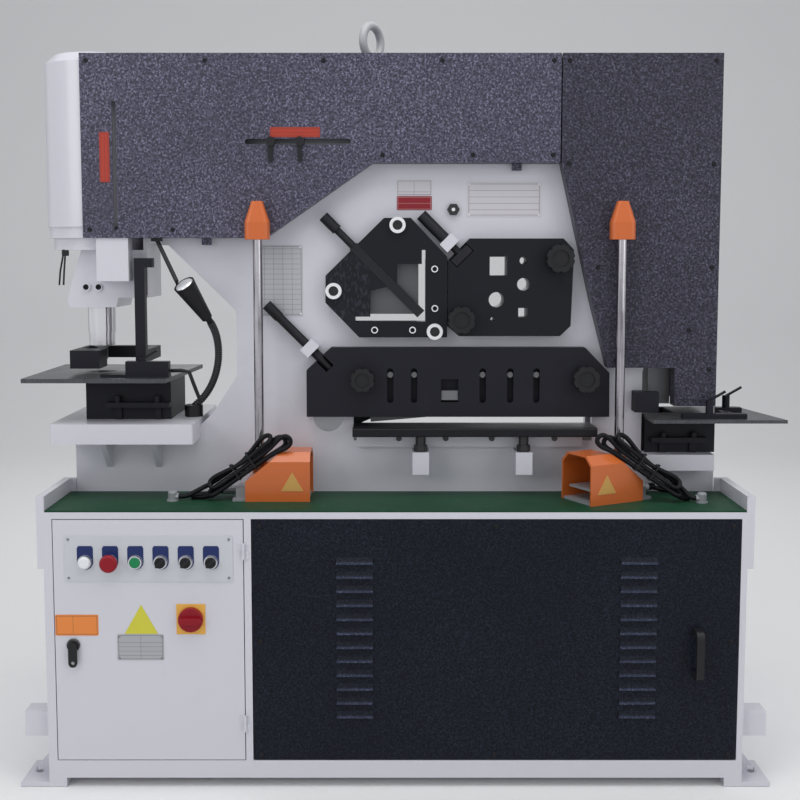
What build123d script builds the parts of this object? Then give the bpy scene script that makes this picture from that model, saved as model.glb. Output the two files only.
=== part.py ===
from build123d import *
import math
import os

os.makedirs("parts", exist_ok=True)

# Frame of the part: X to the right, Y to the back, Z up, millimetres.
# The origin is on the floor, in the middle of the base cabinet.

# Base cabinet
cabinet_w = 1580.0
cabinet_d = 700.0
base_bottom = 21.0
base_top = 62.0
deck_top = 636.0
deck_t = 6.0
sheet_t = 3.0
base_wall = 5.0
stile_depth = 20.0
left_stile_w = 20.0
right_stile_w = 14.0
door_bay = 450.0
post_w = 16.0
top_rail_h = 9.0
strip_h = 12.0
strip_inset = 20.0
seam = 2.0
cabinet_front = -cabinet_d / 2
cabinet_back = cabinet_d / 2
cabinet_right = cabinet_w / 2
post_left = door_bay - cabinet_right

# Feet, with their gussets and anchor holes
foot_w = 105.0
foot_l = 120.0
foot_t = 10.0
foot_overhang = 65.0
anchor_hole_r = 9.0
anchor_inset = 27.0
gusset_t = 8.0

# Tube ends and raised lips at the two ends of the cabinet
stub_l = 58.0
stub_h = 58.0
stub_w = 50.0
stub_wall = 4.0
stub_z = 112.0
lip_out = 14.0
lip_w = 18.0
lip_top = 672.0
lip_bottom = 507.0
lip_depth = 231.0
lip_return = 32.0

# Floor mat on the deck
mat_t = 4.0
mat_gap = 1.0

# Control door and what it carries
door_depth = 18.0
door_sheet = 2.5
hinge_r = 4.0
hinge_pin_r = 2.0
hinge_h = 18.0
hinge_leaf = 12.0
hinge_proud = 4.6
hinge_inset = 70.0
button_plate_w = 377.0
button_plate_h = 105.0
button_plate_x = 236.5 - cabinet_right
button_plate_z = 531.0
plate_t = 2.0
button_z = 524.0
button_pitch = 56.5
first_button_x = 94.0 - cabinet_right
bezel_r = 15.0
bezel_recess_r = 12.5
bezel_front = 10.0
bezel_recess = 9.0
barrel_r = 11.0
barrel_l = 34.0
stem_r = 8.0
stem_gap = 0.3
mushroom_r = 20.0
mushroom_h = 11.0
mushroom_lift = 6.0
cap_gap = 0.5
start_proud = 3.0
selector_proud = 5.0
lever_l = 22.0
lever_w = 7.0
lever_h = 9.0
isolator_x = 329.0 - cabinet_right
isolator_z = 392.0
isolator_plate_w = 65.0
isolator_plate_h = 69.0
isolator_knob_r = 28.0
isolator_knob_h = 20.0
lock_x = 63.0 - cabinet_right
lock_z = 332.0
lock_r = 15.0
lock_h = 6.0
key_l = 58.0
key_t = 3.0

# Louvred front panel
panel_depth = 14.0
panel_sheet = 2.0
louvre_rows = 12
louvre_pitch = 32.3
louvre_top_z = 526.0
louvre_w = 82.0
louvre_h = 15.0
louvre_proud = 7.0
louvre_columns = (-92.0, 547.0)
handle_x = cabinet_right - 109.0
handle_z = 314.0
handle_l = 114.0
handle_w = 17.0
handle_t = 10.0
handle_proud = 36.0

# Frame of two thick plates, held apart by spacers
frame_y = -50.0
frame_gap = 110.0
frame_plate_t = 25.0
front_in = frame_y - frame_gap / 2
front_out = front_in - frame_plate_t
rear_in = frame_y + frame_gap / 2
rear_out = rear_in + frame_plate_t
frame_left = -771.0
frame_right = 768.0
frame_top = 1640.0
arm_left = -590.0
arm_right = 745.0
throat_x = -380.0
throat_r = 22.0
punch_base_top = 771.0
notch_throat_x = 592.0
notch_base_top = 700.0
notch_arm_z = 950.0
spacer_h = 40.0

# Rocking beam, its pivot and its stroke
pivot_x = -162.0
pivot_z = 822.0
pivot_r = 36.0
fit = 0.05
beam_t = 60.0
beam_front = -84.0
beam_back = beam_front + beam_t
beam_stroke_deg = 5.0
boss_r = 60.0
side_gap = 0.5
shear_gap = 0.3
beam_right = 670.0
beam_lower_z = 960.0
beam_upper_z = 1100.0

# Shear stations
shear_plate_t = 30.0
shear_front = front_out - shear_plate_t
wall_x = 71.0
ledge_z = 1052.0
window_left = -96.0
window_top = 1221.0
angle_gap = 16.0
angle_bar = 27.0
section_left = 195.0
section_right = 345.0
section_bottom = 1030.0
section_top = 1225.0
section_blade_in = 10.0
flat_left = -101.0
flat_right = 473.0
flat_blade_h = 40.0
flat_line_z = 804.0
flat_over = 7.0
flat_window_top = 930.0
housing_t = 35.0
housing_left = -211.0
housing_right = 508.0
housing_bottom = 826.0
housing_top = 991.0

# Flat bar table, with its ledge and jacks
bar_table_t = 20.0
bar_table_front = -210.0
ledge_t = 20.0
ledge_h = 30.0
jack_w = 39.0
jack_h = 53.0
jack_bottom = 693.0
jack_front = -200.0
jack_centres = (59.5, 303.0)
jack_screw_r = 14.0

# Screws and knobs on the shear plates
ring_bolt_r = 19.0
ring_bolt_h = 9.0
small_bolt_r = 8.0
small_bolt_h = 4.0
knob_r = 33.0
knob_h = 24.0
knob_neck_r = 12.0
knob_neck = 8.0

# Shear cylinder
shear_cyl_x = 560.0
shear_cyl_r = 110.0
shear_cyl_bottom = 1180.0
shear_cyl_top = 1610.0
shear_bore_r = 85.0
shear_rod_r = 45.0
shear_piston_h = 70.0
rod_rest_gap = 3.0
rod_tip_r = 120.0
pocket_side = 5.0
head_t = 30.0

# Punch station
punch_x = -721.0
cyl_r = 122.0
cyl_flange_r = 118.0
cyl_ring_r = 108.0
cyl_top = 1680.0
cyl_chamfer = 22.0
cyl_flange_z = 1275.0
cyl_seat_z = 1221.0
punch_bore_r = 90.0
piston_h = 80.0
ram_r = 33.0
ram_bottom = 1022.0
ram_stroke = 60.0
nut_r = 31.0
nut_bottom = 990.0
punch_r = 13.0
punch_tip = 955.0
punch_collar = 4.0
head_bottom = 1085.0
head_right = -590.0
head_left_top = -747.0
head_left_bottom = -782.0
head_lip_h = 13.0
head_lip = 4.0
box_left = -701.0
box_right = -626.0
box_front = -172.0
box_bottom = 1148.0
box_top = 1249.0
die_clearance = 0.6

# Punch table and die
table_z = 924.0
table_t = 10.0
table_left = -866.0
table_right = -532.0
table_front = -236.0
table_back = 136.0
saddle_left = -803.0
saddle_right = -470.0
saddle_t = 47.0
saddle_r = 6.0
slug_r = 28.0
bolster_left = -740.0
bolster_right = -537.0
bolster_front = -144.0
bolster_back = 46.0
die_r = 32.0
die_h = 30.0
clamp_bar_h = 12.0
clamp_bar_d = 22.0
clamp_bar_z = 848.0
tee_bolt_r = 7.0

# Stripper and its post
post_x = -603.0
post_half = 12.0
post_y = -152.0
post_top = 1202.0
stripper_z = 941.0
stripper_h = 43.0
stripper_left = -771.0
stripper_clear = 38.0
stripper_arm = 26.0

# Notcher
notch_saddle_left = 593.0
notch_saddle_right = 755.0
notch_saddle_t = 38.0
notch_die_left = 598.0
notch_die_right = 765.0
notch_top = 820.0
notch_punch_left = 612.0
notch_punch_right = 665.0
notch_punch_bottom = 850.0
notch_punch_front = -100.0
notch_punch_back = 0.0
notch_slack = 6.0
notch_table_left = 597.0
notch_table_t = 8.0
notch_table_right = 909.0
notch_table_back = 16.0
notch_table_cut = 49.0
hold_left = 567.0
hold_front = -176.0

# Covers
cover_front = -176.0
cover_back = 76.0
cover_t = 3.0
cover_top = 1673.0
cover_left = -730.0
cover_seam_x = 384.5
cover_seam_gap = 1.5
cover_right = 757.0
cover_low = 1249.0
cover_mid = 1423.0
cover_foot_gap = 33.0
cover_foot = notch_top + cover_foot_gap
cover_step = 944.0

# Lifting eye
eye_x = -57.0
eye_r = 27.0
eye_ring = 20.0
eye_land = 0.5
eye_turn = 56.0
eye_centre_z = 1720.0
eye_shank_r = 14.0
eye_collar_r = 26.0
eye_collar_t = 12.0

# Foot switches with poles, each measured from the middle of its opening
switch_w = 112.0
switch_l = 150.0
switch_h = 113.0
switch_back_h = 46.0
switch_flat_l = 70.0
switch_wall = 4.0
switch_shoulder = 20.0
base_l = 180.0
base_t = 6.0
tail_end = 174.0
tail_h = 28.0
tail_w = 76.0
pedal_w = 84.0
pedal_l = 92.0
pedal_t = 5.0
pedal_front = 12.0
pedal_lift = 26.0
axle_r = 4.0
lug_t = 3.0
pole_at = 122.0
pole_r = 11.0
pole_foot_r = 17.0
pole_foot_z = 740.0
pole_foot_low = 54.0
pole_top = 1250.0
grip_h = 88.0
grip_w = 57.0
grip_t = 40.0
grip_top = 1333.0
left_switch = (-198.0, -198.0, 180.0)
right_switch = (417.0, -260.0, 28.0)

# Foot switch cables, each folded into a bundle that leans on its hood
cable_d = 11.0
gland_r = 10.0
gland_l = 34.0
gland_z = 17.0
bundle_w = 24.0
bundle_h = 33.0
bundle_side = 4.0
bundle_land = 234.2
bundle_over = 28.0
foot_h = 13.0
elbow_z = 10.0
elbow_h = 24.0
elbow_side = 26.0
elbow_r = 9.0
elbow_reach = 14.0
elbow_body_r = 11.0
elbow_flange_r = 14.0
left_tail = 40.0
left_bundle = (-198.0, -216.0)
right_bundle = (427.0, -236.0)

# Lamp
lamp_x = -492.0
lamp_y = -90.0
lamp_base_r = 22.0
lamp_base_h = 28.0
neck_r = 8.0
shade_r = 26.0
shade_back_r = 13.0
shade_l = 82.0


def at_y(y):
    # upright plane at depth y, seen from the front
    return Plane.XZ.offset(-y)


def at_x(x):
    # upright plane across the machine, seen from the right
    return Plane.YZ.offset(x)


def slab(points, y_front, y_back):
    # plate with the outline of the points in X and Z, between two depths
    with BuildPart() as plate:
        with BuildSketch(at_y(y_back)):
            with BuildLine():
                Polyline(*points, close=True)
            make_face()
        extrude(amount=y_back - y_front)
    return plate.part


def block(x0, x1, y0, y1, z0, z1):
    # square bar between its two corners
    with BuildPart() as bar:
        with Locations(((x0 + x1) / 2, (y0 + y1) / 2, (z0 + z1) / 2)):
            Box(x1 - x0, y1 - y0, z1 - z0)
    return bar.part


def rod(centre, direction, radius, length):
    # round bar that starts at the centre and runs along the direction
    with BuildPart() as bar:
        with BuildSketch(Plane(origin=centre, z_dir=direction)):
            Circle(radius)
        extrude(amount=length)
    return bar.part


def save(piece, name):
    piece.part.label = name
    export_step(piece.part, "parts/" + name + ".step")


# Cabinet frame: base pan, feet with gussets, stiles, post and top rail
with BuildPart() as cabinet_frame:
    with BuildSketch(Plane.XY.offset(base_bottom)):
        Rectangle(cabinet_w, cabinet_d)
    extrude(amount=base_top - base_bottom)
    with BuildSketch(Plane.XY.offset(base_bottom + base_wall)):
        Rectangle(cabinet_w - 2 * base_wall, cabinet_d - 2 * stile_depth)
    extrude(amount=base_top - base_bottom, mode=Mode.SUBTRACT)
    foot_x = cabinet_right + foot_overhang - foot_w / 2
    foot_y = cabinet_back - foot_l / 2
    with Locations(*[(sx * foot_x, sy * foot_y, foot_t / 2) for sx in (-1, 1) for sy in (-1, 1)]):
        Box(foot_w, foot_l, foot_t)
    riser_w = foot_w - foot_overhang
    riser_x = cabinet_right - riser_w / 2
    riser_h = base_bottom - foot_t
    with Locations(*[(sx * riser_x, sy * foot_y, foot_t + riser_h / 2) for sx in (-1, 1) for sy in (-1, 1)]):
        Box(riser_w, foot_l, riser_h)
    for side in (-1, 1):
        for foot in (-1, 1):
            gusset_y = foot * foot_y + gusset_t / 2
            with BuildSketch(at_y(gusset_y)):
                with BuildLine():
                    Polyline(
                        (side * cabinet_right, foot_t),
                        (side * (cabinet_right + foot_overhang - 12), foot_t),
                        (side * (cabinet_right + 12), base_top),
                        (side * cabinet_right, base_top),
                        close=True,
                    )
                make_face()
            extrude(amount=gusset_t)
    anchor_x = cabinet_right + foot_overhang - anchor_inset
    anchor_y = foot_y
    with Locations(*[(sx * anchor_x, sy * anchor_y, foot_t) for sx in (-1, 1) for sy in (-1, 1)]):
        Cylinder(anchor_hole_r, 3 * foot_t, mode=Mode.SUBTRACT)
    upright_h = deck_top - deck_t - base_top
    upright_z = base_top + upright_h / 2
    stile_y = cabinet_front + stile_depth / 2
    with Locations((-cabinet_right + left_stile_w / 2, stile_y, upright_z)):
        Box(left_stile_w, stile_depth, upright_h)
    with Locations((cabinet_right - right_stile_w / 2, stile_y, upright_z)):
        Box(right_stile_w, stile_depth, upright_h)
    with Locations((post_left + post_w / 2, stile_y, upright_z)):
        Box(post_w, stile_depth, upright_h)
    with Locations((0, stile_y, deck_top - deck_t - top_rail_h / 2)):
        Box(cabinet_w, stile_depth, top_rail_h)
    # strips behind the front panel, which its folded rim rests on
    strip_x = (post_left + post_w + cabinet_right - right_stile_w) / 2
    strip_w = cabinet_right - right_stile_w - post_left - post_w - 2 * strip_inset
    strip_y = (cabinet_front + panel_depth + cabinet_front + stile_depth) / 2
    strip_zs = (base_top + strip_h / 2, deck_top - deck_t - top_rail_h - strip_h / 2)
    with Locations(*[(strip_x, strip_y, z) for z in strip_zs]):
        Box(strip_w, stile_depth - panel_depth, strip_h)
    # fixed knuckles and pins of the door hinges, on the centre post
    hinge_x = post_left - seam / 2
    hinge_y = cabinet_front - hinge_proud
    hinge_levels = (base_top + hinge_inset, deck_top - hinge_inset - 2 * hinge_h)
    for level in hinge_levels:
        with Locations((hinge_x, hinge_y, level + hinge_h / 2)):
            Cylinder(hinge_r, hinge_h)
        with Locations((hinge_x, hinge_y, level + hinge_h)):
            Cylinder(hinge_pin_r, 1.8 * hinge_h)
        with Locations((hinge_x + hinge_leaf / 2, cabinet_front - 1.0, level + hinge_h / 2)):
            Box(hinge_leaf, 2.0, hinge_h)
save(cabinet_frame, "cabinet_frame")

# Cabinet shell: side sheets with tube ends and lips, back, deck and partition
with BuildPart() as cabinet_shell:
    wall_h = deck_top - deck_t - base_top
    wall_z = base_top + wall_h / 2
    wall_d = cabinet_d - stile_depth
    with Locations(*[(s * (cabinet_right - sheet_t / 2), stile_depth / 2, wall_z) for s in (-1, 1)]):
        Box(sheet_t, wall_d, wall_h)
    with Locations((0, cabinet_back - sheet_t / 2, wall_z)):
        Box(cabinet_w, sheet_t, wall_h)
    with Locations((post_left + post_w / 2, stile_depth / 2, wall_z)):
        Box(sheet_t, wall_d, wall_h)
    with Locations((0, 0, deck_top - deck_t / 2)):
        Box(cabinet_w, cabinet_d, deck_t)
    for side in (-1, 1):
        lip_x = side * (cabinet_right + lip_out - lip_w / 2)
        out_x = side * (cabinet_right + lip_out / 2)
        with Locations((out_x, cabinet_front + lip_depth / 2, (lip_bottom + lip_top) / 2)):
            Box(lip_out, lip_depth, lip_top - lip_bottom)
        with Locations((lip_x, cabinet_front + lip_depth / 2, (deck_top + lip_top) / 2)):
            Box(lip_w, lip_depth, lip_top - deck_top)
        return_x = side * (cabinet_right + lip_out - lip_return / 2)
        with Locations((return_x, cabinet_front + lip_depth - 2 * sheet_t, (deck_top + lip_top) / 2)):
            Box(lip_return, 4 * sheet_t, lip_top - deck_top)
        stub_x = side * (cabinet_right + stub_l / 2)
        with Locations((stub_x, cabinet_front + stile_depth + stub_w / 2, stub_z + stub_h / 2)):
            Box(stub_l, stub_w, stub_h)
            Box(stub_l + 0.1, stub_w - 2 * stub_wall, stub_h - 2 * stub_wall, mode=Mode.SUBTRACT)
        with Locations((side * (cabinet_right - sheet_t / 2), cabinet_front + stile_depth + stub_w / 2,
                        stub_z + stub_h / 2)):
            Box(sheet_t, stub_w, stub_h)
save(cabinet_shell, "cabinet_shell")

# Control door: folded tray with device holes and the moving hinge knuckles
door_left = -cabinet_right + left_stile_w + seam
door_right = post_left - seam
door_bottom = base_top + seam
door_top = deck_top - deck_t - top_rail_h - seam
door_x = (door_left + door_right) / 2
door_z = (door_bottom + door_top) / 2
door_w = door_right - door_left
door_h = door_top - door_bottom
device_xs = [first_button_x + i * button_pitch for i in range(6)]
hole_gap = 0.2
with BuildPart() as control_door:
    with BuildSketch(at_y(cabinet_front + door_depth)):
        with Locations((door_x, door_z)):
            Rectangle(door_w, door_h)
    extrude(amount=door_depth)
    with BuildSketch(at_y(cabinet_front + door_depth)):
        with Locations((door_x, door_z)):
            Rectangle(door_w - 2 * door_sheet, door_h - 2 * door_sheet)
    extrude(amount=door_depth - door_sheet, mode=Mode.SUBTRACT)
    with BuildSketch(at_y(cabinet_front + door_depth)):
        with Locations(*[(x, button_z) for x in device_xs]):
            Circle(barrel_r + hole_gap)
        with Locations((isolator_x, isolator_z), (lock_x, lock_z)):
            Circle(stem_r + stem_gap)
    extrude(amount=2 * door_depth, mode=Mode.SUBTRACT)
    for level in hinge_levels:
        knuckle_z = level + hinge_h + side_gap + hinge_h / 2
        with Locations((hinge_x, hinge_y, knuckle_z)):
            Cylinder(hinge_r, hinge_h)
        with Locations((hinge_x - hinge_leaf / 2, cabinet_front - 1.0, knuckle_z)):
            Box(hinge_leaf, 2.0, hinge_h)
        with Locations((hinge_x, hinge_y, knuckle_z)):
            Cylinder(hinge_pin_r + fit, hinge_h + 1, mode=Mode.SUBTRACT)
save(control_door, "control_door")

# Door fittings: button plate, device bezels, pilot lamp, isolator plate and lock
plate_front = cabinet_front - plate_t
bezel_y = plate_front - bezel_front
with BuildPart() as fitting_plates:
    with BuildSketch(at_y(cabinet_front)):
        with Locations((button_plate_x, button_plate_z)):
            RectangleRounded(button_plate_w, button_plate_h, 4)
        with Locations(*[(x, button_z) for x in device_xs]):
            Circle(barrel_r + hole_gap, mode=Mode.SUBTRACT)
    extrude(amount=plate_t)
    with BuildSketch(at_y(cabinet_front)):
        with Locations((isolator_x, isolator_z)):
            Rectangle(isolator_plate_w, isolator_plate_h)
            Circle(stem_r + stem_gap, mode=Mode.SUBTRACT)
    extrude(amount=plate_t)
fittings = [fitting_plates.part]
for place, device_x in enumerate(device_xs):
    seat = Plane(origin=(device_x, plate_front, button_z), x_dir=(1, 0, 0), z_dir=(0, -1, 0))
    rim = seat.offset(bezel_front)
    with BuildPart() as bezel:
        with BuildSketch(seat):
            Circle(bezel_r)
        extrude(amount=bezel_front)
        with BuildSketch(seat):
            Circle(barrel_r)
        extrude(amount=-barrel_l)
        if place > 0:
            with BuildSketch(rim):
                Circle(bezel_recess_r)
            extrude(amount=-bezel_recess, mode=Mode.SUBTRACT)
            with BuildSketch(rim):
                Circle(stem_r + stem_gap)
            extrude(amount=-(bezel_front + barrel_l - 2 * plate_t), mode=Mode.SUBTRACT)
        else:
            # the pilot lamp is one closed device with a domed lens
            with BuildSketch(rim):
                Circle(bezel_recess_r)
            extrude(amount=bezel_front / 2)
            fillet(bezel.edges().group_by(Axis.Y)[0], bezel_front / 3)
    fittings.append(bezel.part)
lock_face = Plane(origin=(lock_x, cabinet_front, lock_z), x_dir=(1, 0, 0), z_dir=(0, -1, 0))
with BuildPart() as lock:
    with BuildSketch(lock_face):
        Circle(lock_r)
    extrude(amount=lock_h)
    chamfer(lock.edges().group_by(Axis.Y)[0], 1.5)
    with BuildSketch(lock_face):
        Circle(stem_r)
    extrude(amount=-door_depth)
    with BuildSketch(lock_face.offset(lock_h)):
        Circle(stem_r / 2 + stem_gap)
    extrude(amount=-lock_h - door_depth / 2, mode=Mode.SUBTRACT)
fittings.append(lock.part)
with BuildPart() as door_fittings:
    for fitting in fittings:
        add(fitting)
save(door_fittings, "door_fittings")

# Key in the lock, with its bow and the tag that hangs below
with BuildPart() as lock_key:
    key_y = cabinet_front - lock_h - 2.5
    with BuildSketch(at_y(key_y + 10.5)):
        with Locations((lock_x, lock_z)):
            Circle(stem_r / 2)
    extrude(amount=10.5)
    with BuildSketch(at_y(key_y)):
        with Locations((lock_x, lock_z - key_l / 2 + 9)):
            SlotOverall(key_l, 20, rotation=90)
        with Locations((lock_x, lock_z - key_l + 19)):
            Circle(4, mode=Mode.SUBTRACT)
    extrude(amount=key_t)
save(lock_key, "lock_key")

# Stop button with a mushroom head
with BuildPart() as stop_button:
    button_x = device_xs[1]
    with BuildSketch(at_y(bezel_y - mushroom_lift)):
        with Locations((button_x, button_z)):
            Circle(mushroom_r)
    extrude(amount=mushroom_h)
    fillet(stop_button.edges().group_by(Axis.Y)[0], 0.6 * mushroom_h)
    with BuildSketch(at_y(bezel_y + 28)):
        with Locations((button_x, button_z)):
            Circle(stem_r)
    extrude(amount=28 + mushroom_lift)
save(stop_button, "stop_button")

# Start button, a round cap in its bezel
with BuildPart() as start_button:
    button_x = device_xs[2]
    with BuildSketch(at_y(bezel_y + bezel_recess - 5)):
        with Locations((button_x, button_z)):
            Circle(bezel_recess_r - cap_gap)
    extrude(amount=bezel_recess - 5 + start_proud)
    fillet(start_button.edges().group_by(Axis.Y)[0], 1.5)
    with BuildSketch(at_y(bezel_y + 28)):
        with Locations((button_x, button_z)):
            Circle(stem_r)
    extrude(amount=28 - (bezel_recess - 5))
save(start_button, "start_button")

# Three selector switches with a grip bar
for letter, button_x in zip("abc", device_xs[3:]):
    with BuildPart() as selector:
        with BuildSketch(at_y(bezel_y + bezel_recess - 1)):
            with Locations((button_x, button_z)):
                Circle(bezel_recess_r - cap_gap)
        extrude(amount=bezel_recess - 1 + selector_proud)
        with BuildSketch(at_y(bezel_y - selector_proud)):
            with Locations((button_x, button_z)):
                SlotOverall(lever_l, lever_w, rotation=45)
        extrude(amount=lever_h)
        with BuildSketch(at_y(bezel_y + 28)):
            with Locations((button_x, button_z)):
                Circle(stem_r)
        extrude(amount=28 - (bezel_recess - 1))
    save(selector, "selector_" + letter)

# Rotary isolator knob with a raised grip
with BuildPart() as isolator_knob:
    with BuildSketch(at_y(plate_front)):
        with Locations((isolator_x, isolator_z)):
            Circle(isolator_knob_r)
    extrude(amount=isolator_knob_h / 2)
    fillet(isolator_knob.edges().group_by(Axis.Y)[0], 3)
    with BuildSketch(at_y(plate_front - isolator_knob_h / 2)):
        with Locations((isolator_x, isolator_z)):
            SlotOverall(1.8 * isolator_knob_r, 15)
    extrude(amount=isolator_knob_h / 2)
    with BuildSketch(at_y(cabinet_front + 20)):
        with Locations((isolator_x, isolator_z)):
            Circle(stem_r)
    extrude(amount=20 + plate_t)
save(isolator_knob, "isolator_knob")

# Front panel: folded tray with two columns of pressed louvres
panel_left = post_left + post_w + seam
panel_right = cabinet_right - right_stile_w - seam
panel_x = (panel_left + panel_right) / 2
panel_w = panel_right - panel_left
louvre_zs = [louvre_top_z - i * louvre_pitch for i in range(louvre_rows)]
with BuildPart() as front_panel:
    with BuildSketch(at_y(cabinet_front + panel_depth)):
        with Locations((panel_x, door_z)):
            Rectangle(panel_w, door_h)
    extrude(amount=panel_depth)
    with BuildSketch(at_y(cabinet_front + panel_depth)):
        with Locations((panel_x, door_z)):
            Rectangle(panel_w - 2 * panel_sheet, door_h - 2 * panel_sheet)
    extrude(amount=panel_depth - panel_sheet, mode=Mode.SUBTRACT)
    slits = [(x, z - louvre_h / 4) for x in louvre_columns for z in louvre_zs]
    with BuildSketch(at_y(cabinet_front + panel_sheet)):
        with Locations(*slits):
            Rectangle(louvre_w - 6, louvre_h / 2)
    extrude(amount=panel_sheet, mode=Mode.SUBTRACT)
    for column in louvre_columns:
        with BuildSketch(at_x(column - louvre_w / 2)):
            for level in louvre_zs:
                with BuildLine():
                    Polyline(
                        (cabinet_front, level + louvre_h / 2),
                        (cabinet_front - louvre_proud, level - louvre_h / 3),
                        (cabinet_front - louvre_proud, level - louvre_h / 2),
                        (cabinet_front - louvre_proud + panel_sheet, level - louvre_h / 2),
                        (cabinet_front - louvre_proud + panel_sheet, level - louvre_h / 3),
                        (cabinet_front, level + louvre_h / 4),
                        close=True,
                    )
                make_face()
        extrude(amount=louvre_w)
save(front_panel, "front_panel")

# Bow handle, bolted to the face of the panel
with BuildPart() as bow_handle:
    with BuildSketch(at_x(handle_x - handle_w / 2)):
        with Locations((cabinet_front - handle_proud / 2, handle_z)):
            RectangleRounded(handle_proud, handle_l, handle_proud / 2 - 1)
        with Locations((cabinet_front - handle_proud / 4, handle_z)):
            Rectangle(handle_proud / 2, handle_l)
        with Locations((cabinet_front - (handle_proud - handle_t) / 2, handle_z)):
            Rectangle(handle_proud - handle_t, handle_l - 2 * handle_t - 8, mode=Mode.SUBTRACT)
    extrude(amount=handle_w)
save(bow_handle, "bow_handle")

# Rubber mat on the front of the deck
with BuildPart() as green_mat:
    mat_w = 2 * (cabinet_right + lip_out - lip_w - mat_gap)
    mat_depth = front_out - cabinet_front - 2 * mat_gap
    mat_y = cabinet_front + mat_gap + mat_depth / 2
    with BuildSketch(Plane.XY.offset(deck_top)):
        with Locations((0, mat_y)):
            Rectangle(mat_w, mat_depth)
        corner_w = lip_return - lip_w + 2 * mat_gap
        corner_d = 4 * sheet_t + 2 * mat_gap
        corner_y = cabinet_front + lip_depth - corner_d / 2 + mat_gap
        with Locations(*[(s * (mat_w / 2 - corner_w / 2), corner_y) for s in (-1, 1)]):
            Rectangle(corner_w, corner_d, mode=Mode.SUBTRACT)
    extrude(amount=mat_t)
save(green_mat, "green_mat")

# Frame plates, with the throats, windows, pivot bore and cylinder pocket
throat_step_z = 801.0
throat_low_x = -437.0
throat_low_z = 833.0
throat_mid_z = 922.0
throat_high_z = 1076.0
throat_top_x = -541.0
throat_top_z = 1234.0
frame_points = [
    (frame_left, deck_top),
    (frame_left, punch_base_top),
    (saddle_right, punch_base_top),
    (saddle_right, throat_step_z),
    (throat_low_x, throat_low_z),
    (throat_x, throat_mid_z),
    (throat_x, throat_high_z),
    (throat_top_x, throat_top_z),
    (arm_left, throat_top_z),
    (arm_left, frame_top),
    (arm_right, frame_top),
    (arm_right, notch_arm_z),
    (notch_throat_x, notch_arm_z),
    (notch_throat_x, notch_base_top),
    (frame_right, notch_base_top),
    (frame_right, deck_top),
]
pocket_left = shear_cyl_x - shear_cyl_r - pocket_side
pocket_right = shear_cyl_x + shear_cyl_r + pocket_side


def frame_plate(y_front, y_back, flat_low, spare):
    # one plate of the frame; the rear windows are larger by the spare
    with BuildPart() as plate:
        add(slab(frame_points, y_front, y_back))
        upright = plate.edges().filter_by(Axis.Y)
        corners = [e for e in upright if abs(e.center().X - throat_x) < 1]
        corners += [e for e in upright if abs(e.center().X - notch_throat_x) < 1 and e.center().Z > 800]
        fillet(corners, throat_r)
        y0 = y_front - 1
        y1 = y_back + 1
        add(block(-100, wall_x + angle_bar, y0, y1, ledge_z - angle_bar, 1225), mode=Mode.SUBTRACT)
        add(block(section_left - spare, section_right + spare, y0, y1, section_bottom - spare,
                  section_top + spare), mode=Mode.SUBTRACT)
        add(block(flat_left - spare, flat_right + spare, y0, y1, flat_low, flat_window_top), mode=Mode.SUBTRACT)
        add(block(pocket_left, pocket_right, y0, y1, shear_cyl_bottom, frame_top + 1), mode=Mode.SUBTRACT)
        add(rod((pivot_x, y1, pivot_z), (0, -1, 0), pivot_r + fit, y1 - y0), mode=Mode.SUBTRACT)
    return plate.part


with BuildPart() as front_frame_plate:
    add(frame_plate(front_out, front_in, flat_line_z - flat_blade_h, 0))
save(front_frame_plate, "front_frame_plate")

# Rear frame plate, with the welded spacers that join it to the front one
spine_w = 50.0
column_w = 30.0
with BuildPart() as rear_frame_plate:
    add(frame_plate(rear_in, rear_out, flat_line_z - 24, 5))
    add(block(arm_left, pocket_left, front_in, rear_in, frame_top - spacer_h, frame_top))
    add(block(frame_left, -480, front_in, rear_in, deck_top, deck_top + spacer_h))
    add(block(490, frame_right, front_in, rear_in, deck_top, deck_top + spacer_h))
    add(block(flat_left, flat_right, front_in, rear_in, deck_top, notch_base_top))
    add(block(throat_x, throat_x + spine_w, front_in, rear_in, 860, 1100))
    add(block(arm_right - column_w, arm_right, front_in, rear_in, notch_arm_z + 10, frame_top))
save(rear_frame_plate, "rear_frame_plate")

# Lifting eye, screwed into the top spacer through the cover
with BuildPart() as lifting_eye:
    turned = math.radians(eye_turn)
    ring_x = (math.cos(turned), math.sin(turned), 0)
    eye_normal = (-math.sin(turned), math.cos(turned), 0)
    ring_at = Plane(origin=(eye_x, frame_y, eye_centre_z), x_dir=ring_x, z_dir=eye_normal)
    with Locations(ring_at.location):
        Torus(eye_r + eye_ring / 2 - eye_land, eye_ring / 2)
    with BuildSketch(Plane.XY.offset(cover_top + 0.5)):
        with Locations((eye_x, frame_y)):
            Circle(eye_collar_r)
    extrude(amount=eye_collar_t)
    with BuildSketch(Plane.XY.offset(frame_top)):
        with Locations((eye_x, frame_y)):
            Circle(eye_shank_r)
    extrude(amount=cover_top + 1 - frame_top)
    with BuildSketch(ring_at.offset(-eye_ring)):
        Circle(eye_r)
    extrude(amount=2 * eye_ring, mode=Mode.SUBTRACT)
save(lifting_eye, "lifting_eye")

# Pivot pin of the beam, with a retaining disc behind
disc_r = 50.0
disc_t = 6.0
with BuildPart() as beam_pivot_pin:
    add(rod((pivot_x, rear_out, pivot_z), (0, -1, 0), pivot_r, rear_out - front_out))
    add(rod((pivot_x, rear_out + disc_t, pivot_z), (0, -1, 0), disc_r, disc_t))
save(beam_pivot_pin, "beam_pivot_pin")

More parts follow.
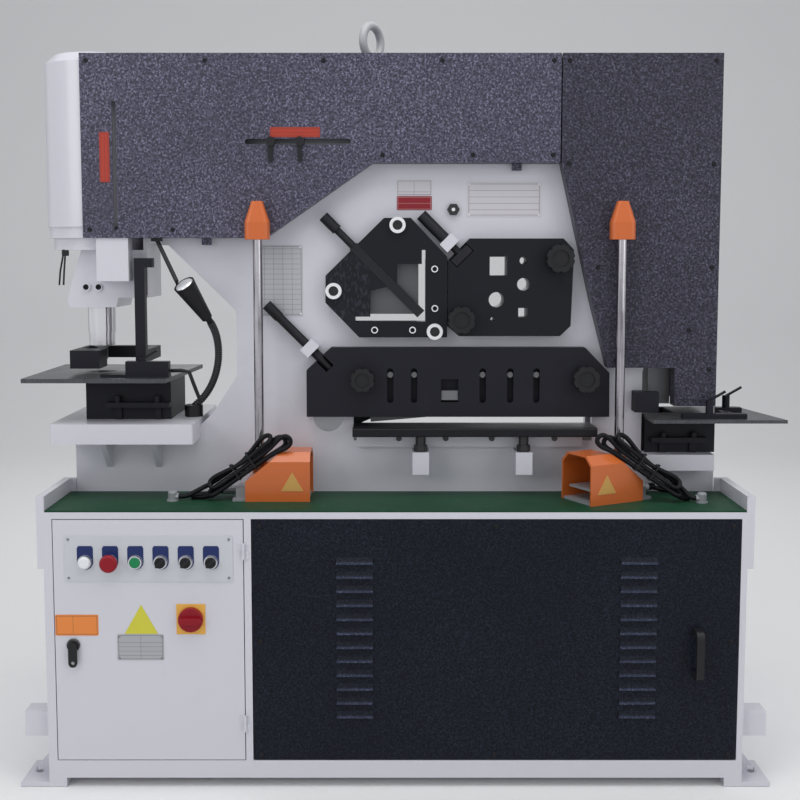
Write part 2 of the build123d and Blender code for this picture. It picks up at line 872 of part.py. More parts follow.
# Rocking beam with its boss and the windows for angle and section stock
inner_x = wall_x - angle_gap
inner_z = ledge_z + angle_gap
with BuildPart() as shear_beam:
    beam_points = [
        (-235, 900),
        (-190, 1200),
        (-60, 1300),
        (395, 1240),
        (430, beam_upper_z),
        (beam_right, beam_upper_z),
        (beam_right, beam_lower_z),
        (flat_right, beam_lower_z),
        (450, 855),
        (-60, 811),
        (pivot_x, pivot_z - boss_r + 5),
        (-215, 810),
    ]
    add(slab(beam_points, beam_front, beam_back))
    boss_front = front_in + side_gap
    boss_back = rear_in - side_gap
    add(rod((pivot_x, boss_back, pivot_z), (0, -1, 0), boss_r, boss_back - boss_front))
    with BuildSketch(at_y(beam_back + 1)):
        with BuildLine():
            Polyline(
                (-115, ledge_z - 17),
                (wall_x + 19, ledge_z - 17),
                (wall_x + 19, 1235),
                (inner_x, 1235),
                (inner_x, inner_z),
                (-115, inner_z),
                close=True,
            )
        make_face()
        with Locations(((section_left + section_right) / 2, 1127.5)):
            Rectangle(120, 155)
    extrude(amount=beam_t + 2, mode=Mode.SUBTRACT)
    add(rod((pivot_x, 20, pivot_z), (0, -1, 0), pivot_r + fit, 140), mode=Mode.SUBTRACT)
save(shear_beam, "shear_beam")


def cut_sections():
    # stock openings of the section shear, the same in the plate and in both blades
    with Locations((242.6, 1183.9)):
        Rectangle(41.6, 46, mode=Mode.SUBTRACT)
    with Locations((301, 1196)):
        Circle(9, mode=Mode.SUBTRACT)
    with Locations((301.7, 1140.4)):
        Circle(15, mode=Mode.SUBTRACT)
    with Locations((238, 1104)):
        Circle(18, mode=Mode.SUBTRACT)
    with Locations((229.6, 1058)):
        Circle(5, mode=Mode.SUBTRACT)
    with Locations((301, 1073.5)):
        Rectangle(22, 22, mode=Mode.SUBTRACT)


# Moving blades of the angle, section and flat shears, and the notcher punch
blade_front = front_in + shear_gap
rest = math.radians(beam_stroke_deg)


def before_stroke(x, z):
    # where a point of the fully closed beam lies when the beam is at rest
    dx = x - pivot_x
    dz = z - pivot_z
    return (
        pivot_x + dx * math.cos(rest) - dz * math.sin(rest),
        pivot_z + dx * math.sin(rest) + dz * math.cos(rest),
    )


closed_z = flat_line_z - flat_over
with BuildPart() as moving_blades:
    angle_points = [(-80, inner_z), (inner_x, inner_z), (inner_x, 1195), (-20, 1195), (-80, 1140)]
    add(slab(angle_points, blade_front, beam_front))
    with BuildSketch(at_y(beam_front)):
        with Locations(((section_left + section_right) / 2, 1127.5)):
            Rectangle(section_right - section_left - section_blade_in, 175)
        cut_sections()
    extrude(amount=beam_front - blade_front)
    flat_points = [
        before_stroke(-62, closed_z),
        before_stroke(438, closed_z),
        before_stroke(438, closed_z + 45),
        before_stroke(-62, closed_z + 45),
    ]
    add(slab(flat_points, blade_front, beam_front))
    add(block(notch_punch_left, notch_punch_right, notch_punch_front, notch_punch_back,
              notch_punch_bottom, beam_lower_z))
save(moving_blades, "moving_blades")

# Fixed blades, let into the windows of the front plate
with BuildPart() as fixed_blades:
    angle_points = [
        (window_left, ledge_z - angle_bar),
        (wall_x + angle_bar, ledge_z - angle_bar),
        (wall_x + angle_bar, 1200),
        (wall_x, 1200),
        (wall_x, ledge_z),
        (window_left, ledge_z),
    ]
    add(slab(angle_points, front_out, front_in))
    with BuildSketch(at_y(front_in)):
        with Locations(((section_left + section_right) / 2, (section_bottom + section_top) / 2)):
            Rectangle(section_right - section_left, section_top - section_bottom)
        cut_sections()
    extrude(amount=frame_plate_t)
    add(block(flat_left, flat_right, front_out, front_in, flat_line_z - flat_blade_h, flat_line_z))
save(fixed_blades, "fixed_blades")

# Clamp axes: each runs down to the right at 45 degrees at this depth
clamp_y = -147.0
angle_axis = 1130.0
section_axis = 1364.0
flat_axis = 786.0
channel_half = 11.7
channel_floor = -135.8


def down45(x, axis_sum, length, depth, height, y=clamp_y):
    # square bar on a clamp axis, centred at this X
    with BuildPart() as bar:
        with Locations(Location((x, y, axis_sum - x), (0, 45, 0))):
            Box(length, depth, height)
    return bar.part


def round45(x, axis_sum, radius, length):
    # round bar on a clamp axis, centred at this X
    with BuildPart() as bar:
        with Locations(Location((x, clamp_y, axis_sum - x), (0, 135, 0))):
            Cylinder(radius, length)
    return bar.part


# Angle shear plate with its stock window and the channel of the clamp
with BuildPart() as angle_shear_plate:
    outline = [(-27, 1296), (36, 1296), (122, 1205), (122, 1015), (-86, 1015), (-165.5, 1097), (-165, 1161)]
    add(slab(outline, shear_front, front_out))
    stock_window = [
        (window_left, ledge_z),
        (wall_x, ledge_z),
        (wall_x, window_top),
        (wall_x - 9, window_top),
        (wall_x - 9, 1188),
        (4, 1188),
        (4, 1140),
        (-60, 1125),
        (-60, ledge_z + 12),
        (window_left, ledge_z + 12),
    ]
    add(slab(stock_window, shear_front - 1, front_out + 1), mode=Mode.SUBTRACT)
    channel_d = channel_floor - shear_front + 5
    add(down45(-60, angle_axis, 260, channel_d, 2 * channel_half, shear_front - 5 + channel_d / 2),
        mode=Mode.SUBTRACT)
save(angle_shear_plate, "angle_shear_plate")

# Section shear plate with the stock openings and the pocket of the clamp foot
foot_half = 12.0
pocket_floor = -134.8
with BuildPart() as section_shear_plate:
    outline = [(124, 1196), (175, 1248), (395, 1248), (420, 1221), (414, 1042), (389, 1018), (150, 1018), (124, 1040)]
    with BuildSketch(at_y(front_out)):
        with BuildLine():
            Polyline(*outline, close=True)
        make_face()
        cut_sections()
    extrude(amount=shear_plate_t)
    pocket_d = pocket_floor - shear_front + 5
    add(down45(148, section_axis, 46.7, pocket_d, 2 * foot_half + 32, shear_front - 5 + pocket_d / 2),
        mode=Mode.SUBTRACT)
save(section_shear_plate, "section_shear_plate")

# Housing in front of the flat shear, with the slots for its screws
slot_w = 15.0
slot_low = 859.0
slot_high = 942.0
slot_d = 20.0
slot_xs = (-12.4, 44.2, 206.7, 272.0, 334.3)
guide_left = 108.0
guide_right = 149.0
guide_low = 861.0
guide_high = 916.0
housing_front = front_out - housing_t
flat_rod_r = 11.0
flat_foot_x = -155.5
with BuildPart() as flat_shear_housing:
    outline = [
        (housing_left, 937),
        (-153, housing_top),
        (449, housing_top),
        (507, 931),
        (housing_right, housing_bottom),
        (housing_left, housing_bottom),
    ]
    add(slab(outline, housing_front, front_out))
    with BuildSketch(at_y(housing_front + slot_d)):
        with Locations(*[(x, (slot_low + slot_high) / 2) for x in slot_xs]):
            SlotOverall(slot_high - slot_low, slot_w, rotation=90)
        with Locations(((guide_left + guide_right) / 2, (guide_low + guide_high) / 2)):
            Rectangle(guide_right - guide_left, guide_high - guide_low)
    extrude(amount=slot_d + 1, mode=Mode.SUBTRACT)
    pocket_back = clamp_y + flat_rod_r + 1
    pocket_d = pocket_back - housing_front + 5
    add(down45(flat_foot_x - 35, flat_axis, 100, pocket_d, 2 * flat_rod_r + 2, pocket_back - pocket_d / 2),
        mode=Mode.SUBTRACT)
save(flat_shear_housing, "flat_shear_housing")

# Screws of the shear plates, the housing, the ledge and the jacks
ledge_z0 = 752.0
ledge_left = -93.0
ledge_right = 447.0
ledge_front = front_out - ledge_t
table_low = flat_line_z - bar_table_t
jack_top = jack_bottom + jack_h
jack_screw_y = -181.0
with BuildPart() as plate_bolts:
    with BuildSketch(at_y(shear_front)):
        with Locations((4.7, 1279.3), (-146, 1124.7), (92.7, 1028.8)):
            Circle(ring_bolt_r)
    extrude(amount=ring_bolt_h)
    with BuildSketch(at_y(shear_front - ring_bolt_h)):
        with Locations((4.7, 1279.3), (-146, 1124.7), (92.7, 1028.8)):
            RegularPolygon(11, 6)
    extrude(amount=-(ring_bolt_h - 1), mode=Mode.SUBTRACT)
    with BuildSketch(at_y(shear_front)):
        with Locations((92.1, 1176.4), (92.8, 1083.6), (-49.4, 1032.5), (40.2, 1032.5)):
            Circle(small_bolt_r)
            Circle(small_bolt_r / 2, mode=Mode.SUBTRACT)
    extrude(amount=small_bolt_h)
    with BuildSketch(at_y(front_out)):
        with Locations((136.7, 1316.4)):
            RegularPolygon(15, 6)
    extrude(amount=10)
    with BuildSketch(at_y(housing_front + slot_d)):
        with Locations(*[(x, slot_high - 16) for x in slot_xs]):
            Circle(slot_w / 2 - 0.6)
    extrude(amount=slot_d - 6)
    with BuildSketch(at_y(housing_front + slot_d)):
        with Locations(((guide_left + guide_right) / 2, guide_low + 16)):
            Rectangle(guide_right - guide_left - 2, 22)
    extrude(amount=slot_d - 4)
    with BuildSketch(at_y(ledge_front)):
        with Locations((8, 773), (120, 773), (230, 773), (380, 773)):
            Circle(7)
    extrude(amount=5)
    for centre in jack_centres:
        with BuildSketch(Plane.XY.offset(jack_top)):
            with Locations((centre, jack_screw_y)):
                RegularPolygon(jack_screw_r + 2, 6)
        extrude(amount=16)
        with BuildSketch(Plane.XY.offset(jack_top + 16)):
            with Locations((centre, jack_screw_y)):
                Circle(jack_screw_r - 2)
        extrude(amount=table_low - jack_top - 16)
save(plate_bolts, "plate_bolts")

# White supports: nut blocks of two clamps, the ledge and the jack blocks
section_rod_r = 9.0
nut_along = 26.0
nut_across = 38.0
nut_depth = 34.0
section_nut_x = 126.0
flat_nut_x = -203.5
with BuildPart() as support_blocks:
    nut_y = front_out - nut_depth / 2
    add(down45(section_nut_x, section_axis, nut_along, nut_depth, nut_across, nut_y))
    add(round45(section_nut_x, section_axis, section_rod_r + fit, 2 * nut_along), mode=Mode.SUBTRACT)
    add(down45(flat_nut_x, flat_axis, nut_along, nut_depth, nut_across, nut_y))
    add(round45(flat_nut_x, flat_axis, flat_rod_r + fit, 2 * nut_along), mode=Mode.SUBTRACT)
    for centre in jack_centres:
        add(block(centre - jack_w / 2, centre + jack_w / 2, jack_front, front_out, jack_bottom, jack_top))
    add(block(ledge_left, ledge_right, ledge_front, front_out, ledge_z0, table_low))
save(support_blocks, "support_blocks")

# Flat bar table
with BuildPart() as flat_bar_table:
    add(block(flat_left, flat_right, bar_table_front, front_out, table_low, flat_line_z))
    fillet(flat_bar_table.edges().filter_by(Axis.X).group_by(Axis.Y)[0], 3)

# Clamps: a bar or rod along the axis with a round grip at its upper end
grip_r = 13.0
with BuildPart() as angle_clamp:
    add(down45(-20, angle_axis, 226, 22, 23))
    add(round45(-118, angle_axis, 9, 74))
    add(round45(-154, angle_axis, grip_r, 45))
save(angle_clamp, "angle_clamp")
with BuildPart() as section_clamp:
    add(down45(156.5, section_axis, 20, 22, 52))
    add(round45(127, section_axis, section_rod_r, 80))
    add(round45(88.2, section_axis, grip_r + 1, 79))
save(section_clamp, "section_clamp")
with BuildPart() as flat_clamp:
    add(round45(-217, flat_axis, flat_rod_r, 172))
    add(round45(-291, flat_axis, grip_r, 42))
save(flat_clamp, "flat_clamp")


def knob(x, z, radius, face_y):
    # ribbed hand knob on a short neck, in front of the face
    with BuildPart() as piece:
        with BuildSketch(at_y(face_y)):
            with Locations((x, z)):
                Circle(knob_neck_r)
        extrude(amount=knob_neck)
        with BuildSketch(at_y(face_y - knob_neck)):
            with Locations((x, z)):
                Circle(radius)
                with PolarLocations(radius + 3, 8):
                    Circle(6, mode=Mode.SUBTRACT)
        extrude(amount=knob_h)
        with BuildSketch(at_y(face_y - knob_neck - knob_h)):
            with Locations((x, z)):
                Circle(0.62 * radius)
        extrude(amount=-4, mode=Mode.SUBTRACT)
    return piece


save(knob(385, 1201, knob_r, shear_front), "section_knob_upper")
save(knob(155, 1057, knob_r - 1, shear_front), "section_knob_lower")
save(knob(-78, 916, 28, housing_front), "flat_knob_left")
save(knob(449, 918, 31, housing_front), "flat_knob_right")


def cylinder_hole(x, radius, z0, z1):
    # upright round hole in the piece being built
    with BuildPart(mode=Mode.PRIVATE) as hole:
        with Locations((x, frame_y, (z0 + z1) / 2)):
            Cylinder(radius, z1 - z0)
    return hole.part


# Shear cylinder, standing on the ends of the pocket, and its rod
with BuildPart() as shear_cylinder:
    add(cylinder_hole(shear_cyl_x, shear_cyl_r, shear_cyl_bottom, shear_cyl_top))
    chamfer(shear_cylinder.edges().group_by(Axis.Z)[-1], 6)
    add(cylinder_hole(shear_cyl_x, shear_bore_r, shear_cyl_bottom + head_t, shear_cyl_top - head_t),
        mode=Mode.SUBTRACT)
    add(cylinder_hole(shear_cyl_x, shear_rod_r + fit, shear_cyl_bottom - 1, shear_cyl_bottom + head_t + 1),
        mode=Mode.SUBTRACT)
    port_y = frame_y + shear_cyl_r - 4
    with Locations((shear_cyl_x, port_y, shear_cyl_bottom + 70), (shear_cyl_x, port_y, shear_cyl_top - 55)):
        Box(50, 20, 44)
save(shear_cylinder, "shear_cylinder")
with BuildPart() as shear_rod:
    piston_top = shear_cyl_top - head_t - 2
    add(cylinder_hole(shear_cyl_x, shear_bore_r - fit, piston_top - shear_piston_h, piston_top))
    add(cylinder_hole(shear_cyl_x, shear_rod_r, beam_upper_z + rod_rest_gap, piston_top - 1))
    fillet(shear_rod.edges().group_by(Axis.Z)[0], 0.7 * shear_rod_r)
save(shear_rod, "shear_rod")

# Punch cylinder with its seat ring and flange
with BuildPart() as punch_cylinder:
    add(cylinder_hole(punch_x, cyl_r, cyl_flange_z, cyl_top))
    chamfer(punch_cylinder.edges().group_by(Axis.Z)[-1], cyl_chamfer)
    add(cylinder_hole(punch_x, cyl_flange_r, 1249, cyl_flange_z + 1))
    add(cylinder_hole(punch_x, cyl_ring_r, cyl_seat_z, 1250))
    add(cylinder_hole(punch_x, punch_bore_r, cyl_seat_z + head_t, cyl_top - head_t), mode=Mode.SUBTRACT)
    add(cylinder_hole(punch_x, ram_r + fit, cyl_seat_z - 1, cyl_seat_z + head_t + 1), mode=Mode.SUBTRACT)
save(punch_cylinder, "punch_cylinder")
with BuildPart() as punch_ram:
    piston_top = cyl_top - head_t - 2
    add(cylinder_hole(punch_x, punch_bore_r - fit, piston_top - piston_h, piston_top))
    add(cylinder_hole(punch_x, ram_r, ram_bottom, piston_top - 1))
    add(cylinder_hole(punch_x, nut_r, nut_bottom, ram_bottom + 1))
save(punch_ram, "punch_ram")
with BuildPart() as punch_tool:
    add(cylinder_hole(punch_x, punch_r, punch_tip, nut_bottom))
    add(cylinder_hole(punch_x, punch_r + 6, nut_bottom - punch_collar, nut_bottom))
save(punch_tool, "punch_tool")

# Punch head, with the upright that bolts to the ends of the frame plates
upright_t = 9.0
with BuildPart() as punch_head:
    head_points = [
        (head_left_top, cyl_seat_z),
        (-777, 1125),
        (head_left_bottom, 1098),
        (head_left_bottom + 6, head_bottom),
        (-667, head_bottom),
        (-661, 1108),
        (head_right, 1108),
        (head_right, cyl_seat_z),
    ]
    add(slab(head_points, front_out, rear_out))
    add(block(head_right - upright_t, head_right, front_out, rear_out, cyl_seat_z, frame_top - 40))
    add(block(box_left, box_right, box_front, front_out, box_bottom, box_top))
    add(cylinder_hole(punch_x, cyl_ring_r + 0.5, cyl_seat_z, 1300), mode=Mode.SUBTRACT)
    add(cylinder_hole(punch_x, cyl_r + 0.3, 1249, 1700), mode=Mode.SUBTRACT)
    add(cylinder_hole(punch_x, ram_r + fit, head_bottom - 1, cyl_seat_z + 1), mode=Mode.SUBTRACT)
    with BuildSketch(at_y(front_out)):
        with Locations((-736, 1133), (-708, 1133)):
            Circle(10)
            RegularPolygon(5.5, 6, mode=Mode.SUBTRACT)
    extrude(amount=6)
save(punch_head, "punch_head")

# Stripper: square post in front of the head and a frame round the ram
with BuildPart() as stripper:
    post_left_x = post_x - post_half
    post_right_x = post_x + post_half
    post_front = post_y - post_half
    post_back = post_y + post_half
    add(block(post_left_x, post_right_x, post_front, post_back, stripper_z + 14, post_top))
    add(block(post_left_x, post_right_x, post_back, front_out, 1115, 1190))
    add(block(post_left_x, -572, post_front, post_back, post_top - 22, post_top))
    frame_low = stripper_z + 14
    frame_high = stripper_z + stripper_h
    clear = stripper_clear + 1
    add(block(post_left_x, post_right_x, post_front, frame_y + clear + stripper_arm, frame_low, frame_high))
    add(block(stripper_left, post_right_x, frame_y + clear, frame_y + clear + stripper_arm, frame_low, frame_high))
    add(block(stripper_left, punch_x - clear, post_front, frame_y + clear + stripper_arm, frame_low, frame_high))
    add(block(stripper_left, punch_x + 20, post_front, frame_y - clear, stripper_z, frame_high))
save(stripper, "stripper")

# Saddles on the two steps of the frame, the left one with its ribs
rib_t = 14.0
with BuildPart() as table_saddles:
    saddle_top = punch_base_top + saddle_t
    add(block(saddle_left, saddle_right, table_front, table_back, punch_base_top, saddle_top))
    fillet(table_saddles.edges().filter_by(Axis.Z), saddle_r)
    for rib_x in (-689, -571):
        rib = [(front_out, punch_base_top), (table_front + 30, punch_base_top), (front_out, 699)]
        with BuildSketch(at_x(rib_x - rib_t / 2)):
            with BuildLine():
                Polyline(*rib, close=True)
            make_face()
        extrude(amount=rib_t)
    notch_saddle_top = notch_base_top + notch_saddle_t
    add(block(notch_saddle_left, notch_saddle_right, -184, 46, notch_base_top, notch_saddle_top))
    add(cylinder_hole(punch_x, slug_r, 690, saddle_top + 1), mode=Mode.SUBTRACT)
    slug_left = notch_punch_left - notch_slack
    slug_right = notch_punch_right + notch_slack + 1
    slug_front = notch_punch_front - 3
    slug_back = notch_punch_back + 3
    add(block(slug_left, slug_right, slug_front, slug_back, 690, notch_saddle_top + 1), mode=Mode.SUBTRACT)
save(table_saddles, "table_saddles")

# Die blocks of the punch and the notcher, each with a clamp bar and tee bolts
table_low_z = table_z - table_t
with BuildPart() as die_blocks:
    add(block(bolster_left, bolster_right, bolster_front, bolster_back, saddle_top, table_low_z))
    add(cylinder_hole(punch_x, die_r, table_z - die_h, table_z))
    add(cylinder_hole(punch_x, slug_r, saddle_top - 1, table_z - die_h), mode=Mode.SUBTRACT)
    add(cylinder_hole(punch_x, punch_r + die_clearance, table_z - die_h - 1, table_z + 1), mode=Mode.SUBTRACT)
    bar_front = bolster_front - clamp_bar_d
    add(block(-690, bolster_right, bar_front, bolster_front, clamp_bar_z, clamp_bar_z + clamp_bar_h))
    for bolt_x in (-662, -568):
        add(block(bolt_x - 8, bolt_x + 8, bolster_front - 6, bolster_front, saddle_top, clamp_bar_z))
        with Locations((bolt_x, bolster_front - 12, clamp_bar_z + clamp_bar_h + 8)):
            Cylinder(tee_bolt_r, 16)
    add(block(notch_die_left, notch_die_right, bolster_front, bolster_back, notch_saddle_top, notch_top))
    add(block(notch_die_left, slug_right + 3, slug_front - 2, slug_back + 2, notch_top - 1,
              notch_top + notch_table_t))
    add(block(slug_left, slug_right, slug_front, slug_back, notch_saddle_top - 1, notch_top + 20),
        mode=Mode.SUBTRACT)
    notch_bar_z = notch_saddle_top + 26
    add(block(610, 742, bar_front, bolster_front, notch_bar_z, notch_bar_z + clamp_bar_h))
    for bolt_x in (640, 712):
        add(block(bolt_x - 8, bolt_x + 8, bolster_front - 6, bolster_front, notch_saddle_top, notch_bar_z))
        with Locations((bolt_x, bolster_front - 12, notch_bar_z + clamp_bar_h + 6)):
            Cylinder(tee_bolt_r, 12)
    # hold-down block of the notcher, on the front of the frame
    add(block(hold_left, notch_throat_x - 2, hold_front, front_out, 838, 886))
    add(block(hold_left, 623, hold_front, front_out - 16, 838, 886))
save(die_blocks, "die_blocks")

# Work tables of the punch and the notcher
table_slant = 26.0
with BuildPart() as work_tables:
    with BuildSketch(Plane.XY.offset(table_low_z)):
        with BuildLine():
            Polyline(
                (table_left, table_front),
                (table_right, table_front),
                (table_right + table_slant, table_back),
                (table_left, table_back),
                close=True,
            )
        make_face()
        with Locations((punch_x, frame_y)):
            Circle(die_r + 0.5, mode=Mode.SUBTRACT)
    extrude(amount=table_t)
    with BuildSketch(Plane.XY.offset(notch_top)):
        with BuildLine():
            Polyline(
                (notch_table_left, table_front),
                (notch_table_right, table_front),
                (notch_table_right - notch_table_cut, notch_table_back),
                (notch_table_left, notch_table_back),
                close=True,
            )
        make_face()
        window_w = slug_right + 4 - notch_table_left + 2
        window_d = slug_back - slug_front + 6
        with Locations((notch_table_left - 2 + window_w / 2, (slug_front + slug_back) / 2)):
            Rectangle(window_w, window_d, mode=Mode.SUBTRACT)
    extrude(amount=notch_table_t)
    add(flat_bar_table.part)
save(work_tables, "work_tables")


def lever(x, y, z, length):
    # bright locking lever that rises to the right from its hub
    with BuildPart() as piece:
        with Locations(Location((x, y, z), (0, -30, 0))):
            Box(length, 7, 5, align=(Align.MIN, Align.CENTER, Align.CENTER))
    return piece.part


# Fence of the punch table, with its locking block and lever
with BuildPart() as punch_gauge:
    add(block(-690, -530, -204, -172, table_z, table_z + 7))
    add(block(-632, -531, -200, -174, table_z + 7, table_z + 37))
    add(block(-600, -586, -192, -182, table_z + 37, table_z + 44))
    add(lever(-594, -187, table_z + 42, 40))
save(punch_gauge, "punch_gauge")

# Fence of the notcher table, with two posts and levers
notch_face = notch_top + notch_table_t
with BuildPart() as notch_gauge:
    add(block(672, 822, -212, -190, notch_face, notch_face + 11))
    add(block(776, 798, -190, -120, notch_face, notch_face + 9))
    add(block(776, 836, -120, -98, notch_face, notch_face + 14))
    for gauge_x, gauge_y in ((736, -201), (800, -109)):
        with Locations((gauge_x, gauge_y, notch_face + 24)):
            Cylinder(9, 38)
        add(lever(gauge_x, gauge_y, notch_face + 42, 42))
save(notch_gauge, "notch_gauge")

def cover(points, eye_hole):
    # folded sheet over an outline, with flanges that meet the frame plates
    with BuildPart() as sheet:
        with BuildSketch(at_y(cover_back)):
            with BuildLine():
                Polyline(*points, close=True)
            make_face()
        extrude(amount=cover_back - cover_front)
        with BuildSketch(at_y(cover_back - cover_t)):
            with BuildLine():
                Polyline(*points, close=True)
            make_face()
            offset(amount=-cover_t, kind=Kind.INTERSECTION)
        extrude(amount=cover_back - cover_front - 2 * cover_t, mode=Mode.SUBTRACT)
        add(block(arm_left - 10, arm_right + 3, front_out, rear_out, 800, frame_top + 5), mode=Mode.SUBTRACT)
        if eye_hole:
            add(block(cover_left - 1, cover_left + 2 * cover_t, cover_front + cover_t, cover_back - cover_t,
                      cover_low + cover_t, cover_top - cover_t), mode=Mode.SUBTRACT)
            add(cylinder_hole(punch_x, cyl_r + 0.8, cover_low - 1, cover_top + 1), mode=Mode.SUBTRACT)
            add(cylinder_hole(eye_x, eye_shank_r + 0.5, cover_top - 10, cover_top + 1), mode=Mode.SUBTRACT)
    return sheet.part


# Covers over the cylinders, with the slots of the stroke stops
seam_left = cover_seam_x - cover_seam_gap
seam_right = cover_seam_x + cover_seam_gap
v_slot_x = -652.6
v_slot_w = 9.0
v_slot_low = 1267.0
v_slot_high = 1564.0
h_slot_z = 1471.0
h_slot_w = 13.0
h_slot_left = -349.0
h_slot_right = -103.0
with BuildPart() as main_cover:
    main_points = [
        (cover_left, cover_top),
        (seam_left, cover_top),
        (seam_left, cover_mid),
        (-54, cover_mid),
        (-305, cover_low),
        (cover_left, cover_low),
    ]
    add(cover(main_points, True))
    with BuildSketch(at_y(cover_front + cover_t + 1)):
        with Locations((v_slot_x, (v_slot_low + v_slot_high) / 2)):
            SlotOverall(v_slot_high - v_slot_low, v_slot_w, rotation=90)
        with Locations(((h_slot_left + h_slot_right) / 2, h_slot_z)):
            SlotOverall(h_slot_right - h_slot_left, h_slot_w)
    extrude(amount=cover_t + 2, mode=Mode.SUBTRACT)
    add(block(-457, -436, -150, -134, cover_low - 16, cover_low))
    add(block(274, 296, -150, -134, cover_mid - 16, cover_mid))
save(main_cover, "main_cover")
with BuildPart() as right_cover:
    right_points = [
        (seam_right, cover_top),
        (cover_right, cover_top),
        (cover_right, cover_foot),
        (659, cover_foot),
        (659, cover_step),
        (501, cover_step),
        (459, 1104),
        (seam_right, cover_mid),
    ]
    add(cover(right_points, False))
save(right_cover, "right_cover")

# Stroke stops that slide in the level slot of the cover
for letter, pin_x in zip("ab", (-290, -222)):
    with BuildPart() as stop_pin:
        with BuildSketch(at_y(cover_front)):
            with Locations((pin_x, h_slot_z)):
                Circle(11)
        extrude(amount=9)
        with BuildSketch(at_y(cover_front + cover_t + 0.5)):
            with Locations((pin_x, h_slot_z)):
                Circle(h_slot_w / 2 - 0.4)
        extrude(amount=cover_t + 0.5)
        with BuildSketch(at_y(cover_front + cover_t + 8.5)):
            with Locations((pin_x, h_slot_z)):
                Circle(11)
        extrude(amount=8)
        add(block(pin_x - 5, pin_x + 5, cover_front - 6, cover_front - 2, h_slot_z - 46, h_slot_z))
    save(stop_pin, "stop_pin_" + letter)

# Hydraulic power unit on the floor of the base: tank, motor, pump and valves
pan_floor = base_bottom + base_wall
tank_top = 300.0
motor_r = 88.0
with BuildPart() as power_unit:
    add(block(20, 520, -190, 210, pan_floor, tank_top))
    add(block(40, 500, -170, 190, tank_top, tank_top + 6))
    add(block(70, 250, -60, 60, tank_top + 6, tank_top + 30))
    with Locations(Location((170, 0, tank_top + 24 + motor_r), (0, 90, 0))):
        Cylinder(motor_r, 240)
    with Locations(Location((320, 0, tank_top + 24 + motor_r), (0, 90, 0))):
        Cylinder(42, 90)
    add(block(340, 440, -120, -20, tank_top + 6, tank_top + 96))
    add(block(330, 470, 40, 140, tank_top + 6, tank_top + 76))
save(power_unit, "power_unit")

# Mounting plate of the electric devices, on studs from the back
with BuildPart() as control_backplate:
    plate_back = cabinet_back - sheet_t - 8
    back_left = door_left + 18
    add(block(back_left, post_left - 30, plate_back - 3, plate_back, 110, 580))
    for stud_x in (back_left + 20, post_left - 50):
        for stud_z in (130, 560):
            add(rod((stud_x, plate_back + 8, stud_z), (0, -1, 0), 6, 8))
    for row_z in (470, 330, 190):
        add(block(back_left + 30, post_left - 60, plate_back - 11, plate_back - 3, row_z - 18, row_z + 18))
    for device in range(4):
        device_left = back_left + 40 + 76 * device
        add(block(device_left, device_left + 56, plate_back - 90, plate_back - 11, 430, 515))
        add(block(device_left, device_left + 44, plate_back - 70, plate_back - 11, 292, 368))
save(control_backplate, "control_backplate")


def swept(points, radius):
    # round bar bent smoothly through the points
    with BuildPart() as bar:
        with BuildLine() as path:
            Spline(*points)
        with BuildSketch(Plane(origin=path.line @ 0, z_dir=path.line % 0)):
            Circle(radius)
        sweep()
    return bar.part


# Work lamp: base on the saddle, bent neck, shade and stay
lens = (-489.0, -214.0, 1142.0)
shade_end = (-447.0, -168.0, 1066.0)
with BuildPart() as work_lamp:
    with Locations((lamp_x, lamp_y, saddle_top + lamp_base_h / 2)):
        Cylinder(lamp_base_r, lamp_base_h)
    neck = [
        (lamp_x, lamp_y, saddle_top + lamp_base_h - 4),
        (-462, lamp_y, 872),
        (-434, -100, 930),
        (-427, -120, 1000),
        shade_end,
    ]
    add(swept(neck, neck_r))
    aim = Vector(*lens) - Vector(*shade_end)
    shade_at = Plane(origin=shade_end, z_dir=aim)
    with BuildSketch(shade_at.offset(-6)):
        Circle(shade_back_r)
    with BuildSketch(shade_at.offset(aim.length)):
        Circle(shade_r)
    loft()
    with BuildSketch(shade_at.offset(aim.length)):
        Circle(shade_r - 3)
    extrude(amount=-6, mode=Mode.SUBTRACT)
    stay_low = Vector(*lens) + Vector(-18, 8, 6)
    stay_high = Vector(-562, -154, cover_low - 4)
    add(rod(tuple(stay_low), tuple(stay_high - stay_low), 5, (stay_high - stay_low).length))
    add(block(-574, -550, -164, -144, cover_low - 8, cover_low))
save(work_lamp, "work_lamp")

# Foot switches: bases with the grey tail box, hoods, pedals and poles
mat_top = deck_top + mat_t
pedal_hinge_x = pedal_front + pedal_l
pedal_z = mat_top + base_t + pedal_lift


def placed(piece, switch):
    # from the frame of a foot switch to the frame of the machine
    x, y, angle = switch
    return Location((x, y, mat_top), (0, 0, angle)) * piece


def switch_base():
    with BuildPart() as base:
        inner_w = switch_w - 2 * switch_wall - 1
        add(block(3, base_l, -inner_w / 2, inner_w / 2, 0, base_t))
        add(block(switch_l + 0.5, tail_end, -tail_w / 2, tail_w / 2, base_t, tail_h))
        for side in (-1, 1):
            inner = side * (pedal_w / 2 + 0.5)
            outer = side * (pedal_w / 2 + 0.5 + lug_t)
            add(block(pedal_hinge_x - 9, pedal_hinge_x + 9, min(inner, outer), max(inner, outer), base_t,
                      base_t + pedal_lift + 9))
        with Locations(Location((pedal_hinge_x, 0, base_t + pedal_lift), (90, 0, 0))):
            Cylinder(axle_r + fit, 2 * pedal_w, mode=Mode.SUBTRACT)
        with Locations(Location((tail_end + gland_l / 2, 0, gland_z), (0, 90, 0))):
            Cylinder(gland_r, gland_l)
    return base.part


def switch_profile(wall):
    # side view of the hood, made smaller by the wall
    return [
        (-1 if wall else 0, -1 if wall else 0),
        (-1 if wall else 0, switch_h - wall),
        (switch_flat_l, switch_h - wall),
        (switch_l - wall, switch_back_h - wall),
        (switch_l - wall, -1 if wall else 0),
    ]


